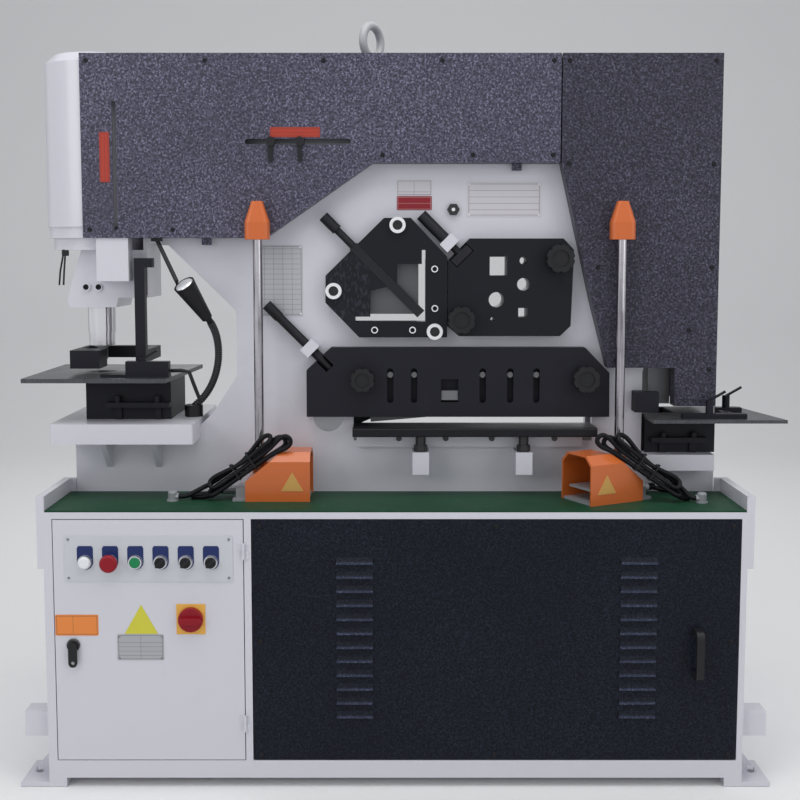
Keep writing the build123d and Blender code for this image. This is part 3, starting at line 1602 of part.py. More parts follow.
def switch_form(wall):
    half = switch_w / 2 - wall
    top = switch_h - wall
    with BuildPart() as form:
        with BuildSketch(at_y(half)):
            with BuildLine():
                Polyline(*switch_profile(wall), close=True)
            make_face()
        extrude(amount=2 * half)
        with BuildSketch(at_x(-2)):
            with BuildLine():
                Polyline(
                    (-half, -2),
                    (half, -2),
                    (half, top - switch_shoulder),
                    (half - switch_shoulder, top),
                    (switch_shoulder - half, top),
                    (-half, top - switch_shoulder),
                    close=True,
                )
            make_face()
        extrude(amount=switch_l + 4, mode=Mode.INTERSECT)
    return form.part


def switch_hood():
    with BuildPart() as hood:
        add(switch_form(0))
        add(switch_form(switch_wall), mode=Mode.SUBTRACT)
        inner_w = switch_w - 2 * switch_wall
        add(block(0, switch_l + 1, -inner_w / 2, inner_w / 2, -1, base_t + 0.5), mode=Mode.SUBTRACT)
        # foot of the pole, on the rear slope
        with Locations((pole_at, 0, (pole_foot_z - mat_top + pole_foot_low) / 2)):
            Cylinder(pole_foot_r, pole_foot_z - mat_top - pole_foot_low)
    return hood.part


def switch_pedal():
    with BuildPart() as pedal:
        with Locations(Location((pedal_hinge_x, 0, base_t + pedal_lift), (90, 0, 0))):
            Cylinder(axle_r, pedal_w + 2 * lug_t)
        add(block(pedal_front, pedal_hinge_x, -pedal_w / 2, pedal_w / 2, base_t + pedal_lift - 2,
                  base_t + pedal_lift + pedal_t - 2))
    return pedal.part


def pole(switch):
    # upright pole on the foot of a hood, with its grip across the machine
    x, y, angle = switch
    turn = math.radians(angle)
    middle_x = x + pole_at * math.cos(turn)
    middle_y = y + pole_at * math.sin(turn)
    with BuildPart() as bar:
        with Locations((middle_x, middle_y, (pole_foot_z + pole_top) / 2)):
            Cylinder(pole_r, pole_top - pole_foot_z)
        with BuildSketch(Plane.XY.offset(grip_top - grip_h)):
            with Locations((middle_x, middle_y)):
                RectangleRounded(grip_w, grip_t, 12)
        extrude(amount=0.45 * grip_h)
        with BuildSketch(Plane.XY.offset(grip_top - 0.55 * grip_h)):
            with Locations((middle_x, middle_y)):
                RectangleRounded(grip_w, grip_t, 12)
        with BuildSketch(Plane.XY.offset(grip_top)):
            with Locations((middle_x, middle_y)):
                RectangleRounded(0.45 * grip_w, 0.6 * grip_t, 8)
        loft()
    return bar.part


bundle_end = bundle_land + 31.8


def deck_elbow(start, side, face):
    # bent cable gland on the deck, where a cable goes down into the cabinet
    face_x = start[0] + side * face
    cable_y = start[1] - elbow_side
    body_x = face_x + side * elbow_reach
    with BuildPart() as elbow:
        with BuildSketch(at_x(face_x)):
            with Locations((cable_y, mat_top + elbow_z)):
                RegularPolygon(elbow_r, 6)
        extrude(amount=side * elbow_reach)
        with Locations((body_x, cable_y, mat_top + elbow_h / 2)):
            Cylinder(elbow_body_r, elbow_h)
        fillet(elbow.edges().group_by(Axis.Z)[-1], 5)
        with Locations((body_x, cable_y, mat_top + 1.5)):
            Cylinder(elbow_flange_r, 3)
    return elbow.part


with BuildPart() as switch_bases:
    add(placed(switch_base(), left_switch))
    add(placed(switch_base(), right_switch))
    add(deck_elbow(left_bundle, -1, bundle_end + left_tail))
    add(deck_elbow(right_bundle, 1, bundle_end))
save(switch_bases, "switch_bases")
with BuildPart() as switch_hoods:
    add(placed(switch_hood(), left_switch))
    add(placed(switch_hood(), right_switch))
save(switch_hoods, "switch_hoods")
with BuildPart() as left_pedal:
    add(placed(switch_pedal(), left_switch))
save(left_pedal, "left_pedal")
with BuildPart() as right_pedal:
    add(placed(switch_pedal(), right_switch))
save(right_pedal, "right_pedal")
with BuildPart() as switch_poles:
    add(pole(left_switch))
    add(pole(right_switch))
save(switch_poles, "switch_poles")


def bundle(start, side, extra):
    # folded cable that leans on the top edge of a hood and comes down on the mat
    fall = (switch_h + 0.3) / (bundle_land - switch_flat_l)
    lean = math.atan(fall)
    low_end = (switch_flat_l - bundle_over * math.cos(lean), switch_h + 0.3 + bundle_over * math.sin(lean))
    high_end = (low_end[0] + bundle_h * math.sin(lean), low_end[1] + bundle_h * math.cos(lean))
    thick = bundle_h / math.cos(lean)
    outline = [
        low_end,
        (bundle_land, 0),
        (bundle_land + 18, 0),
        (bundle_land + 18, 22),
        (bundle_land, thick),
        high_end,
    ]

    def bar(points, w0, w1):
        at = [(start[0] + side * u, mat_top + z) for u, z in points]
        return slab(at, start[1] - w1, start[1] - w0)

    with BuildPart() as cable:
        add(bar(outline, bundle_side, bundle_side + bundle_w))
        if extra:
            # turn on the mat, from the gland to the bundle, and the tail to the elbow
            nose = [(tail_end + gland_l, 11.5), (250, 0), (292, 0), (292, foot_h), (250, foot_h),
                    (tail_end + gland_l, 22.5)]
            add(bar(nose, -24, -12))
            add(bar([(250, 0), (292, 0), (292, foot_h), (250, foot_h)], -12, 12))
            add(bar([(bundle_land, 0), (bundle_end + extra, 0), (bundle_end + extra, 16), (bundle_land, 16)],
                    elbow_side - cable_d / 2, elbow_side + cable_d / 2))
        else:
            add(bar([(bundle_land - 18, 0), (bundle_end, 0), (bundle_end, foot_h), (bundle_land - 18, foot_h)],
                    -6, elbow_side + cable_d / 2))
    return cable.part


def lead(points):
    # cable on the mat: straight runs joined by arcs as large as the runs allow
    radii = []
    for before, corner, after in zip(points, points[1:], points[2:]):
        run_in = Vector(*corner) - Vector(*before)
        run_out = Vector(*after) - Vector(*corner)
        turn = math.radians(run_in.get_angle(run_out))
        radii.append(0.45 * min(run_in.length, run_out.length) / math.tan(turn / 2))
    with BuildPart() as tube:
        with BuildLine() as path:
            FilletPolyline(*points, radius=radii)
        with BuildSketch(Plane(origin=path.line @ 0, z_dir=path.line % 0)):
            Circle(cable_d / 2)
        sweep()
    share = tube.part.volume / (math.pi * (cable_d / 2) ** 2 * path.wires()[0].length)
    print("lead", round(path.wires()[0].length, 1), "share", round(share, 4), "radii", [round(r) for r in radii])
    return tube.part


with BuildPart() as left_cable_hank:
    add(bundle(left_bundle, -1, left_tail))
save(left_cable_hank, "left_cable_hank")
with BuildPart() as right_cable_hank:
    add(bundle(right_bundle, 1, 0))
save(right_cable_hank, "right_cable_hank")

# Route of the right cable from its gland round to the end of its bundle
right_turn = math.radians(right_switch[2])
gland_at = tail_end + gland_l
gland_tip = (
    right_switch[0] + gland_at * math.cos(right_turn),
    right_switch[1] + gland_at * math.sin(right_turn),
    mat_top + gland_z,
)
right_route = [
    gland_tip,
    (gland_tip[0] + 13 * math.cos(right_turn), gland_tip[1] + 13 * math.sin(right_turn), mat_top + gland_z),
    (628.0, -150.5, mat_top + 11),
    (646.0, -148.5, mat_top + 6.5),
    (664.0, -154.0, mat_top + 6),
    (679.0, -167.0, mat_top + 6),
    (686.5, -186.0, mat_top + 6),
    (686.0, -205.0, mat_top + 6),
    (683.0, -218.0, mat_top + 6),
    (683.0, -230.0, mat_top + 6),
]
with BuildPart() as right_cable_lead:
    add(lead(right_route))
save(right_cable_lead, "right_cable_lead")
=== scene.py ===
"""Finish of a punching and shearing machine, built on the frame that the CAD model gives."""
import math

import bmesh
import bpy
from mathutils import Matrix, Vector


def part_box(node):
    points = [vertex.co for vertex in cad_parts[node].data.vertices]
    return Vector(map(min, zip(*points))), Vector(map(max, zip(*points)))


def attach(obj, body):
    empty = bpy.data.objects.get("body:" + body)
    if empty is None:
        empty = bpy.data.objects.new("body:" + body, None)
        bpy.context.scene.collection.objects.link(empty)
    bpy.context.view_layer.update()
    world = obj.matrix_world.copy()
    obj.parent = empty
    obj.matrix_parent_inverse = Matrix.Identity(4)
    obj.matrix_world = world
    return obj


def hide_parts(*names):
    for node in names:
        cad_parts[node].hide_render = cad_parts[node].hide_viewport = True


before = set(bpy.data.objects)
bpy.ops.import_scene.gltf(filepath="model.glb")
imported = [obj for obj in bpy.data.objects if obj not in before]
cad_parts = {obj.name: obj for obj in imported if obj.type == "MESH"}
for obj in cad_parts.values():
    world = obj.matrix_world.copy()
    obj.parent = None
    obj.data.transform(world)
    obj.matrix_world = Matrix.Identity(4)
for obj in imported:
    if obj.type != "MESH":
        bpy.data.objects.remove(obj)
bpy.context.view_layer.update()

bl_info = {
    "name": "Punching and shearing machine",
    "version": (1, 0, 0),
    "blender": (4, 5, 0),
    "location": "View3D > Sidebar > Machine",
    "description": "Paint, plates, screws, cables and studio for a hydraulic ironworker",
    "category": "Object",
}

MM = 0.001

# Places that the finish shares with the CAD, in millimetres
DOOR_FACE = -350.0
FRAME_FACE = -130.0
COVER_FACE = -176.0
COVER_JOINT = 400.0
MAT_TOP = 640.0
GRIP_FOOT = 1244.5
FIRST_BUTTON = -696.0
BUTTON_PITCH = 56.5
BUTTON_Z = 524.0
BUTTONS = 6
PLATE_THICK = 0.8
SHELL_SCREW_SINK = 3.0
CABLE_R = 5.5
NECK = ((-485, -89.5, 848), (-472.1, -89.3, 859.8), (-455.9, -91, 880.8), (-443.3, -94.7, 904.1),
        (-434.4, -99.7, 928.7), (-428.8, -105.5, 954.2), (-426.5, -112.7, 979.8),
        (-427.4, -122, 1004.8), (-431.3, -134.2, 1028.2), (-438, -149.6, 1048.9))
LAMP_MOUTH = Vector((-489.0, -214.0, 1142.0))
LAMP_NECK_END = Vector((-447.0, -168.0, 1066.0))

# Which way a screw head faces
TOWARDS_OPERATOR = (math.radians(90), 0.0, 0.0)
TO_THE_BACK = (math.radians(-90), 0.0, 0.0)


# Node trees
class Nodes:
    """A node tree whose nodes are made by kind, settings and input values."""

    def __init__(self, tree):
        self.tree = tree

    def make(self, kind, settings=None, values=None):
        node = self.tree.nodes.new(kind)
        for key, value in (settings or {}).items():
            setattr(node, key, value)
        self.feed(node, values or {})
        return node

    def feed(self, node, values):
        for key, value in values.items():
            source = getattr(value, "socket", value)
            if isinstance(source, bpy.types.NodeSocket):
                self.tree.links.new(source, node.inputs[key])
            else:
                node.inputs[key].default_value = value


class Signal:
    """A socket of a shader tree that plain arithmetic works on."""

    def __init__(self, finish, socket):
        self.finish = finish
        self.socket = socket

    def maths(self, operation, *values):
        socket_shade_and_black_parts = dict(enumerate((self, *values)))
        return self.finish.signal("ShaderNodeMath", {"operation": operation}, socket_shade_and_black_parts)

    def __add__(self, other):
        return self.maths("ADD", other)

    def __sub__(self, other):
        return self.maths("SUBTRACT", other)

    def __rsub__(self, other):
        return self.finish.number(other).maths("SUBTRACT", self)

    def __mul__(self, other):
        return self.maths("MULTIPLY", other)

    __radd__ = __add__
    __rmul__ = __mul__

    def between(self, low, high):
        return self.maths("GREATER_THAN", low) * self.maths("LESS_THAN", high)

    def ramp(self, low, high):
        return self.finish.signal("ShaderNodeMapRange", {"interpolation_type": "SMOOTHSTEP"},
                                  {0: self, 1: low, 2: high, 3: 0.0, 4: 1.0})


class Finish(Nodes):
    """One material round its Principled shader."""

    def __init__(self, name, colour, roughness, metallic=0.0, coat=0.0, coat_roughness=0.1,
                 specular=0.5):
        self.name = name
        self.material = bpy.data.materials.new(name)
        self.material.use_nodes = True
        super().__init__(self.material.node_tree)
        self.shader = self.tree.nodes["Principled BSDF"]
        self.feed(self.shader, {
            "Base Color": (*colour, 1.0),
            "Roughness": roughness,
            "Metallic": metallic,
            "Coat Weight": coat,
            "Coat Roughness": coat_roughness,
            "Specular IOR Level": specular,
        })
        self.material.diffuse_color = (*colour, 1.0)
        self.place = self.signal("ShaderNodeTexCoord", output="Object")
        axes = self.make("ShaderNodeSeparateXYZ", values={0: self.place})
        self.x, self.y, self.z = (Signal(self, axes.outputs[i]) for i in range(3))

    def signal(self, kind, settings=None, values=None, output=0):
        return Signal(self, self.make(kind, settings, values).outputs[output])

    def number(self, value):
        return self.signal("ShaderNodeMath", {"operation": "ADD"}, {0: value, 1: 0.0})

    def stretched(self, factors):
        """The place, drawn out along the axes for marks that run one way."""
        if factors is None:
            return self.place
        values = {0: self.place, 1: factors}
        return self.signal("ShaderNodeVectorMath", {"operation": "MULTIPLY"}, values)

    def noise(self, scale, detail=2.0, stretch=None):
        values = {"Vector": self.stretched(stretch), "Scale": scale, "Detail": detail}
        return self.signal("ShaderNodeTexNoise", values=values)

    def cells(self, scale, stretch=None):
        values = {"Vector": self.stretched(stretch), "Scale": scale}
        return self.signal("ShaderNodeTexVoronoi", {"feature": "SMOOTH_F1"}, values)

    def blend(self, share, first, second):
        values = {0: share, 6: colour_of(first), 7: colour_of(second)}
        return self.signal("ShaderNodeMix", {"data_type": "RGBA"}, values, output=2)

    def box(self, x=None, z=None, y=None):
        """1 inside a box given by (low, high) pairs in millimetres, 0 outside it."""
        inside = None
        for axis, span in ((self.x, x), (self.y, y), (self.z, z)):
            if span is not None:
                part = axis.between(span[0] * MM, span[1] * MM)
                inside = part if inside is None else inside * part
        return inside

    def disc(self, x, z, radius):
        """1 within a radius of a point on the front, in millimetres."""
        across = self.x - x * MM
        up = self.z - z * MM
        distance = (across * across + up * up).maths("SQRT")
        return distance.maths("LESS_THAN", radius * MM)

    def bump(self, height, distance, strength=1.0):
        values = {"Height": height, "Distance": distance * MM, "Strength": strength}
        self.feed(self.shader, {"Normal": self.signal("ShaderNodeBump", values=values)})

    def colour_in(self, signal):
        self.feed(self.shader, {"Base Color": signal})

    def roughness_in(self, signal):
        self.feed(self.shader, {"Roughness": signal})

    def metallic_in(self, signal):
        self.feed(self.shader, {"Metallic": signal})


def colour_of(value):
    return value if isinstance(value, Signal) else (*value, 1.0)


def tint(colour, factor):
    return tuple(min(1.0, channel * factor) for channel in colour)


# Paints and metals
def enamel(name, colour, dirt=0.10, roughness=0.28):
    """Sprayed gloss enamel with a faint orange peel, a little shop dust, and darker towards the
    bottom.
    """
    paint = Finish(name, colour, roughness, coat=0.35, coat_roughness=0.12)
    peel = paint.noise(190.0, 2.0)
    cloud = paint.noise(3.5, 4.0)
    dust = paint.noise(26.0, 5.0).ramp(0.55, 0.8) * cloud.ramp(0.35, 0.75)
    # Darker towards the bottom, below 0.22 m, by a cloudy amount, added to the dust specks
    low = 1.0 - paint.z.ramp(0.0, 0.22)
    dust_and_low_darkening = (dust * dirt + low * cloud * 0.16).maths("MINIMUM", 0.6)
    paint.colour_in(paint.blend(dust_and_low_darkening, colour, tint(colour, 0.55)))
    paint.roughness_in(roughness + 0.12 * cloud + 0.2 * dust)
    paint.bump(peel + 0.3 * cloud, 0.12, 0.35)
    return paint


def hammered(name, colour, pitch=190.0, depth=0.9, sparkle=1.0, specular=0.22, proud_of=None):
    """Hammer-finish paint: dimples with a painted highlight on their rims, painted glints, and a
    painted highlight on the pressed louvres.
    """
    paint = Finish(name, colour, 0.34, specular=specular)
    dimple = paint.cells(pitch)
    fine = paint.noise(pitch * 1.6, 3.0)
    cloud = paint.noise(3.2, 3.0)
    # Painted highlights: the dimple rims (rim) and random painted glints (speck) are lightened
    # towards five times the paint colour
    rim = dimple.ramp(0.25, 0.60)
    sparkle_glint = paint.noise(pitch * 1.1, 1.0).ramp(0.56, 0.66) * sparkle
    lift = (rim * 0.34 + sparkle_glint * 0.75) * (0.35 + 1.1 * cloud)
    tone = paint.blend(lift.maths("MINIMUM", 1.0), colour, tint(colour, 5.0))
    if proud_of is not None:
        # Painted highlight on the pressed louvres: faces more than 4.2 mm proud of the panel are
        # lightened, with painted glints on them (glint)
        height = 1.0 - paint.y.ramp((proud_of - 7.3) * MM, (proud_of - 4.2) * MM)
        glint = (height * 0.35 + height * sparkle_glint * 1.6).maths("MINIMUM", 1.0)
        tone = paint.blend(glint, tone, tint(colour, 16.0))
    paint.colour_in(tone)
    paint.roughness_in(0.24 + 0.2 * fine + 0.1 * cloud)
    paint.bump(dimple * 0.9 + fine * 0.3, depth, 0.9)
    return paint


def blackened(name, colour, roughness=0.42, cast=False):
    """Blackened or painted machined steel with light wear, and a cast patch on the angle plate."""
    steel = Finish(name, colour, roughness, metallic=0.1, specular=0.2)
    grain = steel.noise(420.0, 2.0)
    cloud = steel.noise(9.0, 5.0)
    scratch = steel.noise(60.0, 3.0, (1.0, 1.0, 9.0)).ramp(0.66, 0.80)
    lift = scratch * 0.25 + cloud.ramp(0.55, 0.85) * 0.22
    height = grain
    if cast:
        dimple = steel.cells(150.0, (1.6, 1.0, 0.8))
        patch = steel.box((-165, -62), (1045, 1205))
        lift = lift + dimple.ramp(0.40, 0.65) * patch * 0.9
        height = grain * 0.3 + dimple * patch
    steel.colour_in(steel.blend(lift, colour, tint(colour, 3.2)))
    steel.roughness_in(roughness + 0.16 * cloud - 0.1 * scratch)
    steel.bump(height, 0.25, 0.35)
    return steel


def threaded(name, colour):
    """Black clamp screws with a painted highlight on their thread crests; they all lean the same
    way.
    """
    steel = Finish(name, colour, 0.3, metallic=0.3, specular=0.3)
    turns = ((steel.x - steel.z) * 1480.0).maths("SINE")
    # Painted highlight along the thread crests (crest), lightened up to nine times the black
    crest_glint = turns.ramp(0.55, 1.0)
    cloud = steel.noise(20.0, 4.0)
    steel.colour_in(steel.blend(crest_glint * 0.55, colour, tint(colour, 9.0)))
    steel.roughness_in(0.26 + 0.2 * cloud)
    steel.bump(turns, 0.5, 0.8)
    return steel


def ground(name, colour, roughness=0.32, along=(1.0, 40.0, 40.0)):
    """Ground steel with fine marks that run one way and a few rust spots."""
    steel = Finish(name, colour, roughness, metallic=0.9)
    marks = steel.noise(70.0, 4.0, along)
    cloud = steel.noise(12.0, 4.0)
    rust = steel.noise(48.0, 6.0).ramp(0.68, 0.80) * 0.35
    tone = steel.blend(marks.ramp(0.3, 0.7) * 0.5, tint(colour, 0.72), tint(colour, 1.18))
    steel.colour_in(steel.blend(rust, tone, (0.20, 0.12, 0.07)))
    steel.roughness_in(roughness + 0.18 * cloud)
    steel.bump(marks, 0.06, 0.3)
    return steel


def moulded(name, colour, roughness=0.36):
    """Moulded plastic with a fine spark-eroded grain."""
    plastic = Finish(name, colour, roughness, specular=0.25)
    fine = plastic.noise(300.0, 3.0)
    cloud = plastic.noise(14.0, 3.0)
    plastic.colour_in(plastic.blend(cloud * 0.35, colour, tint(colour, 1.7)))
    plastic.roughness_in(roughness + 0.14 * cloud)
    plastic.bump(fine, 0.08, 0.4)
    return plastic


def chromed(name, colour):
    """Polished bar with faint drawing marks along it."""
    bar = Finish(name, colour, 0.12, metallic=1.0)
    marks = bar.noise(90.0, 3.0, (12.0, 12.0, 0.6))
    cloud = bar.noise(16.0, 3.0)
    bar.colour_in(bar.blend(cloud.ramp(0.5, 0.8) * 0.4, colour, tint(colour, 0.7)))
    bar.roughness_in(0.12 + 0.16 * cloud)
    bar.bump(marks, 0.02, 0.25)
    return bar


def rubber_mat():
    """Green ribbed rubber with scuffs."""
    colour = (0.008, 0.042, 0.020)
    mat = Finish("green_rubber", colour, 0.5, specular=0.12)
    ribs = (mat.x * 2100.0).maths("SINE") * (mat.y * 2100.0).maths("SINE")
    cloud = mat.noise(6.0, 5.0)
    scuff = mat.noise(24.0, 5.0).ramp(0.56, 0.75)
    mat.colour_in(mat.blend(scuff * 0.3 + cloud * 0.3, colour, (0.026, 0.10, 0.055)))
    mat.roughness_in(0.34 + 0.3 * cloud)
    mat.bump(ribs * 0.4 + cloud * 1.2, 0.35, 0.5)
    return mat


def cable_rubber():
    """Black cable sheath with a faint sheen and dust."""
    colour = (0.0045, 0.0045, 0.006)
    sheath = Finish("cable_rubber", colour, 0.42, specular=0.16)
    cloud = sheath.noise(40.0, 4.0)
    sheath.colour_in(sheath.blend(cloud.ramp(0.5, 0.8) * 0.4, colour, (0.022, 0.022, 0.025)))
    sheath.roughness_in(0.40 + 0.2 * cloud)
    sheath.bump(sheath.noise(600.0, 2.0), 0.05, 0.4)
    return sheath


def pole_finish():
    """Chromed pole with an orange grip at its top."""
    colour = (0.46, 0.44, 0.46)
    orange = (0.62, 0.14, 0.032)
    pole = Finish("pole_and_grip", colour, 0.16)
    grip = pole.z.maths("GREATER_THAN", GRIP_FOOT * MM)
    cloud = pole.noise(18.0, 4.0)
    streak = pole.noise(34.0, 3.0, (4.0, 4.0, 0.15)).ramp(0.40, 0.66)
    metal = pole.blend(cloud.ramp(0.45, 0.8) * 0.3 + streak * 0.6, colour, tint(colour, 0.25))
    paint = pole.blend(cloud * 0.25, orange, tint(orange, 0.7))
    pole.colour_in(pole.blend(grip, metal, paint))
    pole.metallic_in(1.0 - grip)
    pole.roughness_in(0.12 + 0.14 * cloud + 0.16 * grip)
    pole.bump(pole.noise(240.0, 2.0) * grip, 0.08, 0.4)
    return pole


def door_fittings_finish():
    """Button plate, bright bezels, white lens, yellow isolator plate and lock in one node."""
    grey = (0.60, 0.62, 0.66)
    plate = Finish("door_fittings", grey, 0.34, coat=0.1)
    dark = (0.015, 0.015, 0.017)
    bright = (0.66, 0.67, 0.69)
    proud = plate.y.maths("LESS_THAN", (DOOR_FACE - 2.2) * MM)
    colour = plate.blend(plate.noise(30.0, 4.0) * 0.18, grey, tint(grey, 0.8))
    isolator = plate.box((-500, -420), (350, 430))
    lock = plate.box((-750, -705), (310, 350))
    rim = 0.0
    for place in range(BUTTONS):
        rim = plate.disc(FIRST_BUTTON + place * BUTTON_PITCH, BUTTON_Z, 15.5) + rim
    rim = rim.maths("MINIMUM", 1.0) * proud
    outside = plate.y.maths("LESS_THAN", (DOOR_FACE - 12.1) * MM)
    lens = plate.disc(FIRST_BUTTON, BUTTON_Z, 12.6) * outside
    for share, tone in ((rim, bright), (isolator, (0.80, 0.42, 0.06)), (lock, dark),
                        (lens, (0.82, 0.85, 0.86))):
        colour = plate.blend(share, colour, tone)
    plate.colour_in(colour)
    plate.metallic_in((rim - lens).maths("MAXIMUM", 0.0))
    plate.roughness_in(0.26 + 0.14 * plate.noise(60.0, 3.0))
    plate.bump(plate.noise(320.0, 2.0), 0.05, 0.3)
    return plate


def tables_finish():
    """Dark ground table plates, with the flat-bar table painted black."""
    steel = Finish("table_steel", (0.16, 0.165, 0.175), 0.36, metallic=0.6, specular=0.2)
    marks = steel.noise(60.0, 4.0, (30.0, 1.0, 1.0))
    cloud = steel.noise(9.0, 5.0)
    bright = steel.blend(marks.ramp(0.3, 0.7) * 0.6, (0.045, 0.045, 0.05), (0.17, 0.175, 0.19))
    bar_table = steel.box((-105, 480), (780, 806), (-215, -125))
    steel.colour_in(steel.blend(bar_table, bright, (0.011, 0.011, 0.014)))
    steel.metallic_in(0.75 - 0.6 * bar_table)
    steel.roughness_in(0.30 + 0.22 * cloud)
    steel.bump(marks + cloud, 0.08, 0.35)
    return steel


def bolts_finish():
    """Bright ring bolts with painted shade in their hexagon sockets, a black nut, and dull screws
    in the slots.
    """
    steel = Finish("bolt_steel", (0.72, 0.72, 0.74), 0.28)
    cloud = steel.noise(50.0, 3.0)
    dark = (0.012, 0.012, 0.014)
    nut = (136.7, 1316.4)
    tone = steel.blend(cloud * 0.4, (0.86, 0.86, 0.88), (0.62, 0.62, 0.64))
    tone = steel.blend(steel.box(z=(790, 990)), tone, (0.15, 0.15, 0.16))
    # Painted shade in the hexagon sockets of the ring bolts and small screws (sockets); the screws
    # under the table, 740 to 790 mm up, and the nut are black
    socket_shade_and_black_parts = steel.box(z=(740, 790))
    for radius, places in ((11.6, ((4.7, 1279.3), (-146.0, 1124.7), (92.7, 1028.8))),
                           (5.6, ((92.1, 1176.4), (92.8, 1083.6), (-49.4, 1032.5), (40.2, 1032.5))),
                           (18.0, (nut,))):
        for x, z in places:
            socket_shade_and_black_parts = socket_shade_and_black_parts + steel.disc(x, z, radius)
    tone = steel.blend(socket_shade_and_black_parts.maths("MINIMUM", 1.0), tone, dark)
    tone = steel.blend(steel.disc(*nut, 4.2), tone, (0.8, 0.8, 0.82))
    steel.colour_in(tone)
    steel.roughness_in(0.22 + 0.2 * cloud)
    steel.bump(steel.noise(260.0, 2.0), 0.04, 0.3)
    return steel


def printed(name, colour, border=None, line=None, edges=None, columns=(), rows=()):
    """Bare printed plate with a border and ruled lines, and no words."""
    plate = Finish(name, colour, 0.38, specular=0.3)
    tone = plate.blend(plate.noise(40.0, 4.0) * 0.14, colour, tint(colour, 0.75))
    if edges:
        x0, x1, z0, z1 = edges
        inner, core = (plate.box((x0 + inset, x1 - inset), (z0 + inset, z1 - inset))
                       for inset in (border, border + 1.1))
        ruled = inner - core
        for axis, places in ((plate.x, columns), (plate.z, rows)):
            for place in places:
                ruled = ruled + axis.between((place - 0.4) * MM, (place + 0.4) * MM) * core
        tone = plate.blend(ruled.maths("MINIMUM", 1.0) * 0.75, tone, line)
    plate.colour_in(tone)
    plate.bump(plate.noise(220.0, 2.0), 0.04, 0.25)
    return plate


def lens_glass():
    """Frosted lamp lens with a bright reflector behind it."""
    glass = Finish("lamp_lens", (0.78, 0.80, 0.83), 0.16, metallic=0.35, coat=0.6)
    glass.colour_in(glass.blend(glass.noise(70.0, 3.0) * 0.5, (0.86, 0.88, 0.9), (0.5, 0.52, 0.56)))
    glass.bump(glass.cells(260.0), 0.2, 0.4)
    return glass


# Mesh helpers
def settle(name, mesh_maker, finish, body, smooth=False):
    """Makes one finished piece from bmesh code and sets its body and material."""
    mesh = bmesh.new()
    mesh_maker(mesh)
    bmesh.ops.recalc_face_normals(mesh, faces=mesh.faces)
    data = bpy.data.meshes.new(name)
    mesh.to_mesh(data)
    mesh.free()
    data.materials.append(finish.material)
    return adopt(name, data, body, smooth)


def adopt(name, data, body, smooth=False):
    """Puts a mesh or curve in the scene as a piece that rides on a body."""
    piece = bpy.data.objects.new(name, data)
    bpy.context.scene.collection.objects.link(piece)
    if smooth:
        data.shade_smooth()
    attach(piece, body)
    return piece


def skin(mesh, rings, round_trip=False):
    """Faces from ring to ring of vertices, back to the first one or closed flat at both ends."""
    for first, second in zip(rings, rings[1:] + rings[:1] * round_trip):
        for i in range(len(first)):
            j = (i + 1) % len(first)
            mesh.faces.new((first[i], first[j], second[j], second[i]))
    if not round_trip:
        mesh.faces.new(list(reversed(rings[0])))
        mesh.faces.new(rings[-1])


def add_prism(mesh, outline, y_front, y_back):
    """Closed plate with an outline of (x, z) points between two depths, in millimetres."""
    skin(mesh, [[mesh.verts.new((x * MM, y * MM, z * MM)) for x, z in outline]
                for y in (y_front, y_back)])


def rounded(x0, x1, z0, z1, radius, steps=3):
    """Outline of a rectangle with round corners."""
    outline = []
    corners = ((x1 - radius, z1 - radius, 0), (x0 + radius, z1 - radius, 90),
               (x0 + radius, z0 + radius, 180), (x1 - radius, z0 + radius, 270))
    for cx, cz, start in corners:
        for step in range(steps + 1):
            angle = math.radians(start + 90 * step / steps)
            outline.append((cx + radius * math.cos(angle), cz + radius * math.sin(angle)))
    return outline


def bare_plate(name, edges, colour, border, line, columns, rows, face, corner, body, slot):
    """Thin rectangular plate on a face that looks to the front."""
    finish = printed(name + "_print", colour, border, line, edges, columns, rows)
    outline = rounded(*edges, corner)
    settle(name, lambda mesh: add_prism(mesh, outline, face - PLATE_THICK, face), finish,
           body)


def add_shield(mesh, x, z, half=18.0, top=36.0, hole=15.8, steps=48):
    """Legend plate on the button plate: a round foot and a square head round a hole."""
    under, over = DOOR_FACE - 2.1, DOOR_FACE - 2.9
    rows = []
    for step in range(steps):
        angle = 2 * math.pi * step / steps
        across, up = math.cos(angle), math.sin(angle)
        reach = half if up <= 0 else min(half / max(abs(across), 1e-6), top / up)
        corners = ((hole, under), (reach, under), (reach, over), (hole, over))
        rows.append([mesh.verts.new(((x + r * across) * MM, depth * MM, (z + r * up) * MM))
                     for r, depth in corners])
    skin(mesh, rows, True)


def ring(mesh, centre, aim, side, radius, sides):
    """Round ring of vertices about a place, square to its aim."""
    other = aim.cross(side)
    places = []
    for i in range(sides):
        angle = 2 * math.pi * i / sides
        places.append(centre + (side * math.cos(angle) + other * math.sin(angle)) * radius)
    return [mesh.verts.new(place * MM) for place in places]


def add_turned(mesh, base, direction, profile, sides):
    """Closed turned form from (distance along, radius) pairs, in millimetres."""
    aim = Vector(direction).normalized()
    side = aim.orthogonal().normalized()
    skin(mesh, [ring(mesh, Vector(base) + aim * along, aim, side, radius, sides)
                for along, radius in profile])


def add_pipe(mesh, points, radius, sides=14):
    """Round bar along a few points given in millimetres, with flat ends."""
    places = [Vector(p) for p in points]
    rings = []
    side = None
    for i, place in enumerate(places):
        aim = (places[min(i + 1, len(places) - 1)] - places[max(i - 1, 0)]).normalized()
        if side is None:
            side = aim.orthogonal().normalized()
        side = (side - aim * side.dot(aim)).normalized()
        rings.append(ring(mesh, place, aim, side, radius, sides))
    skin(mesh, rings)


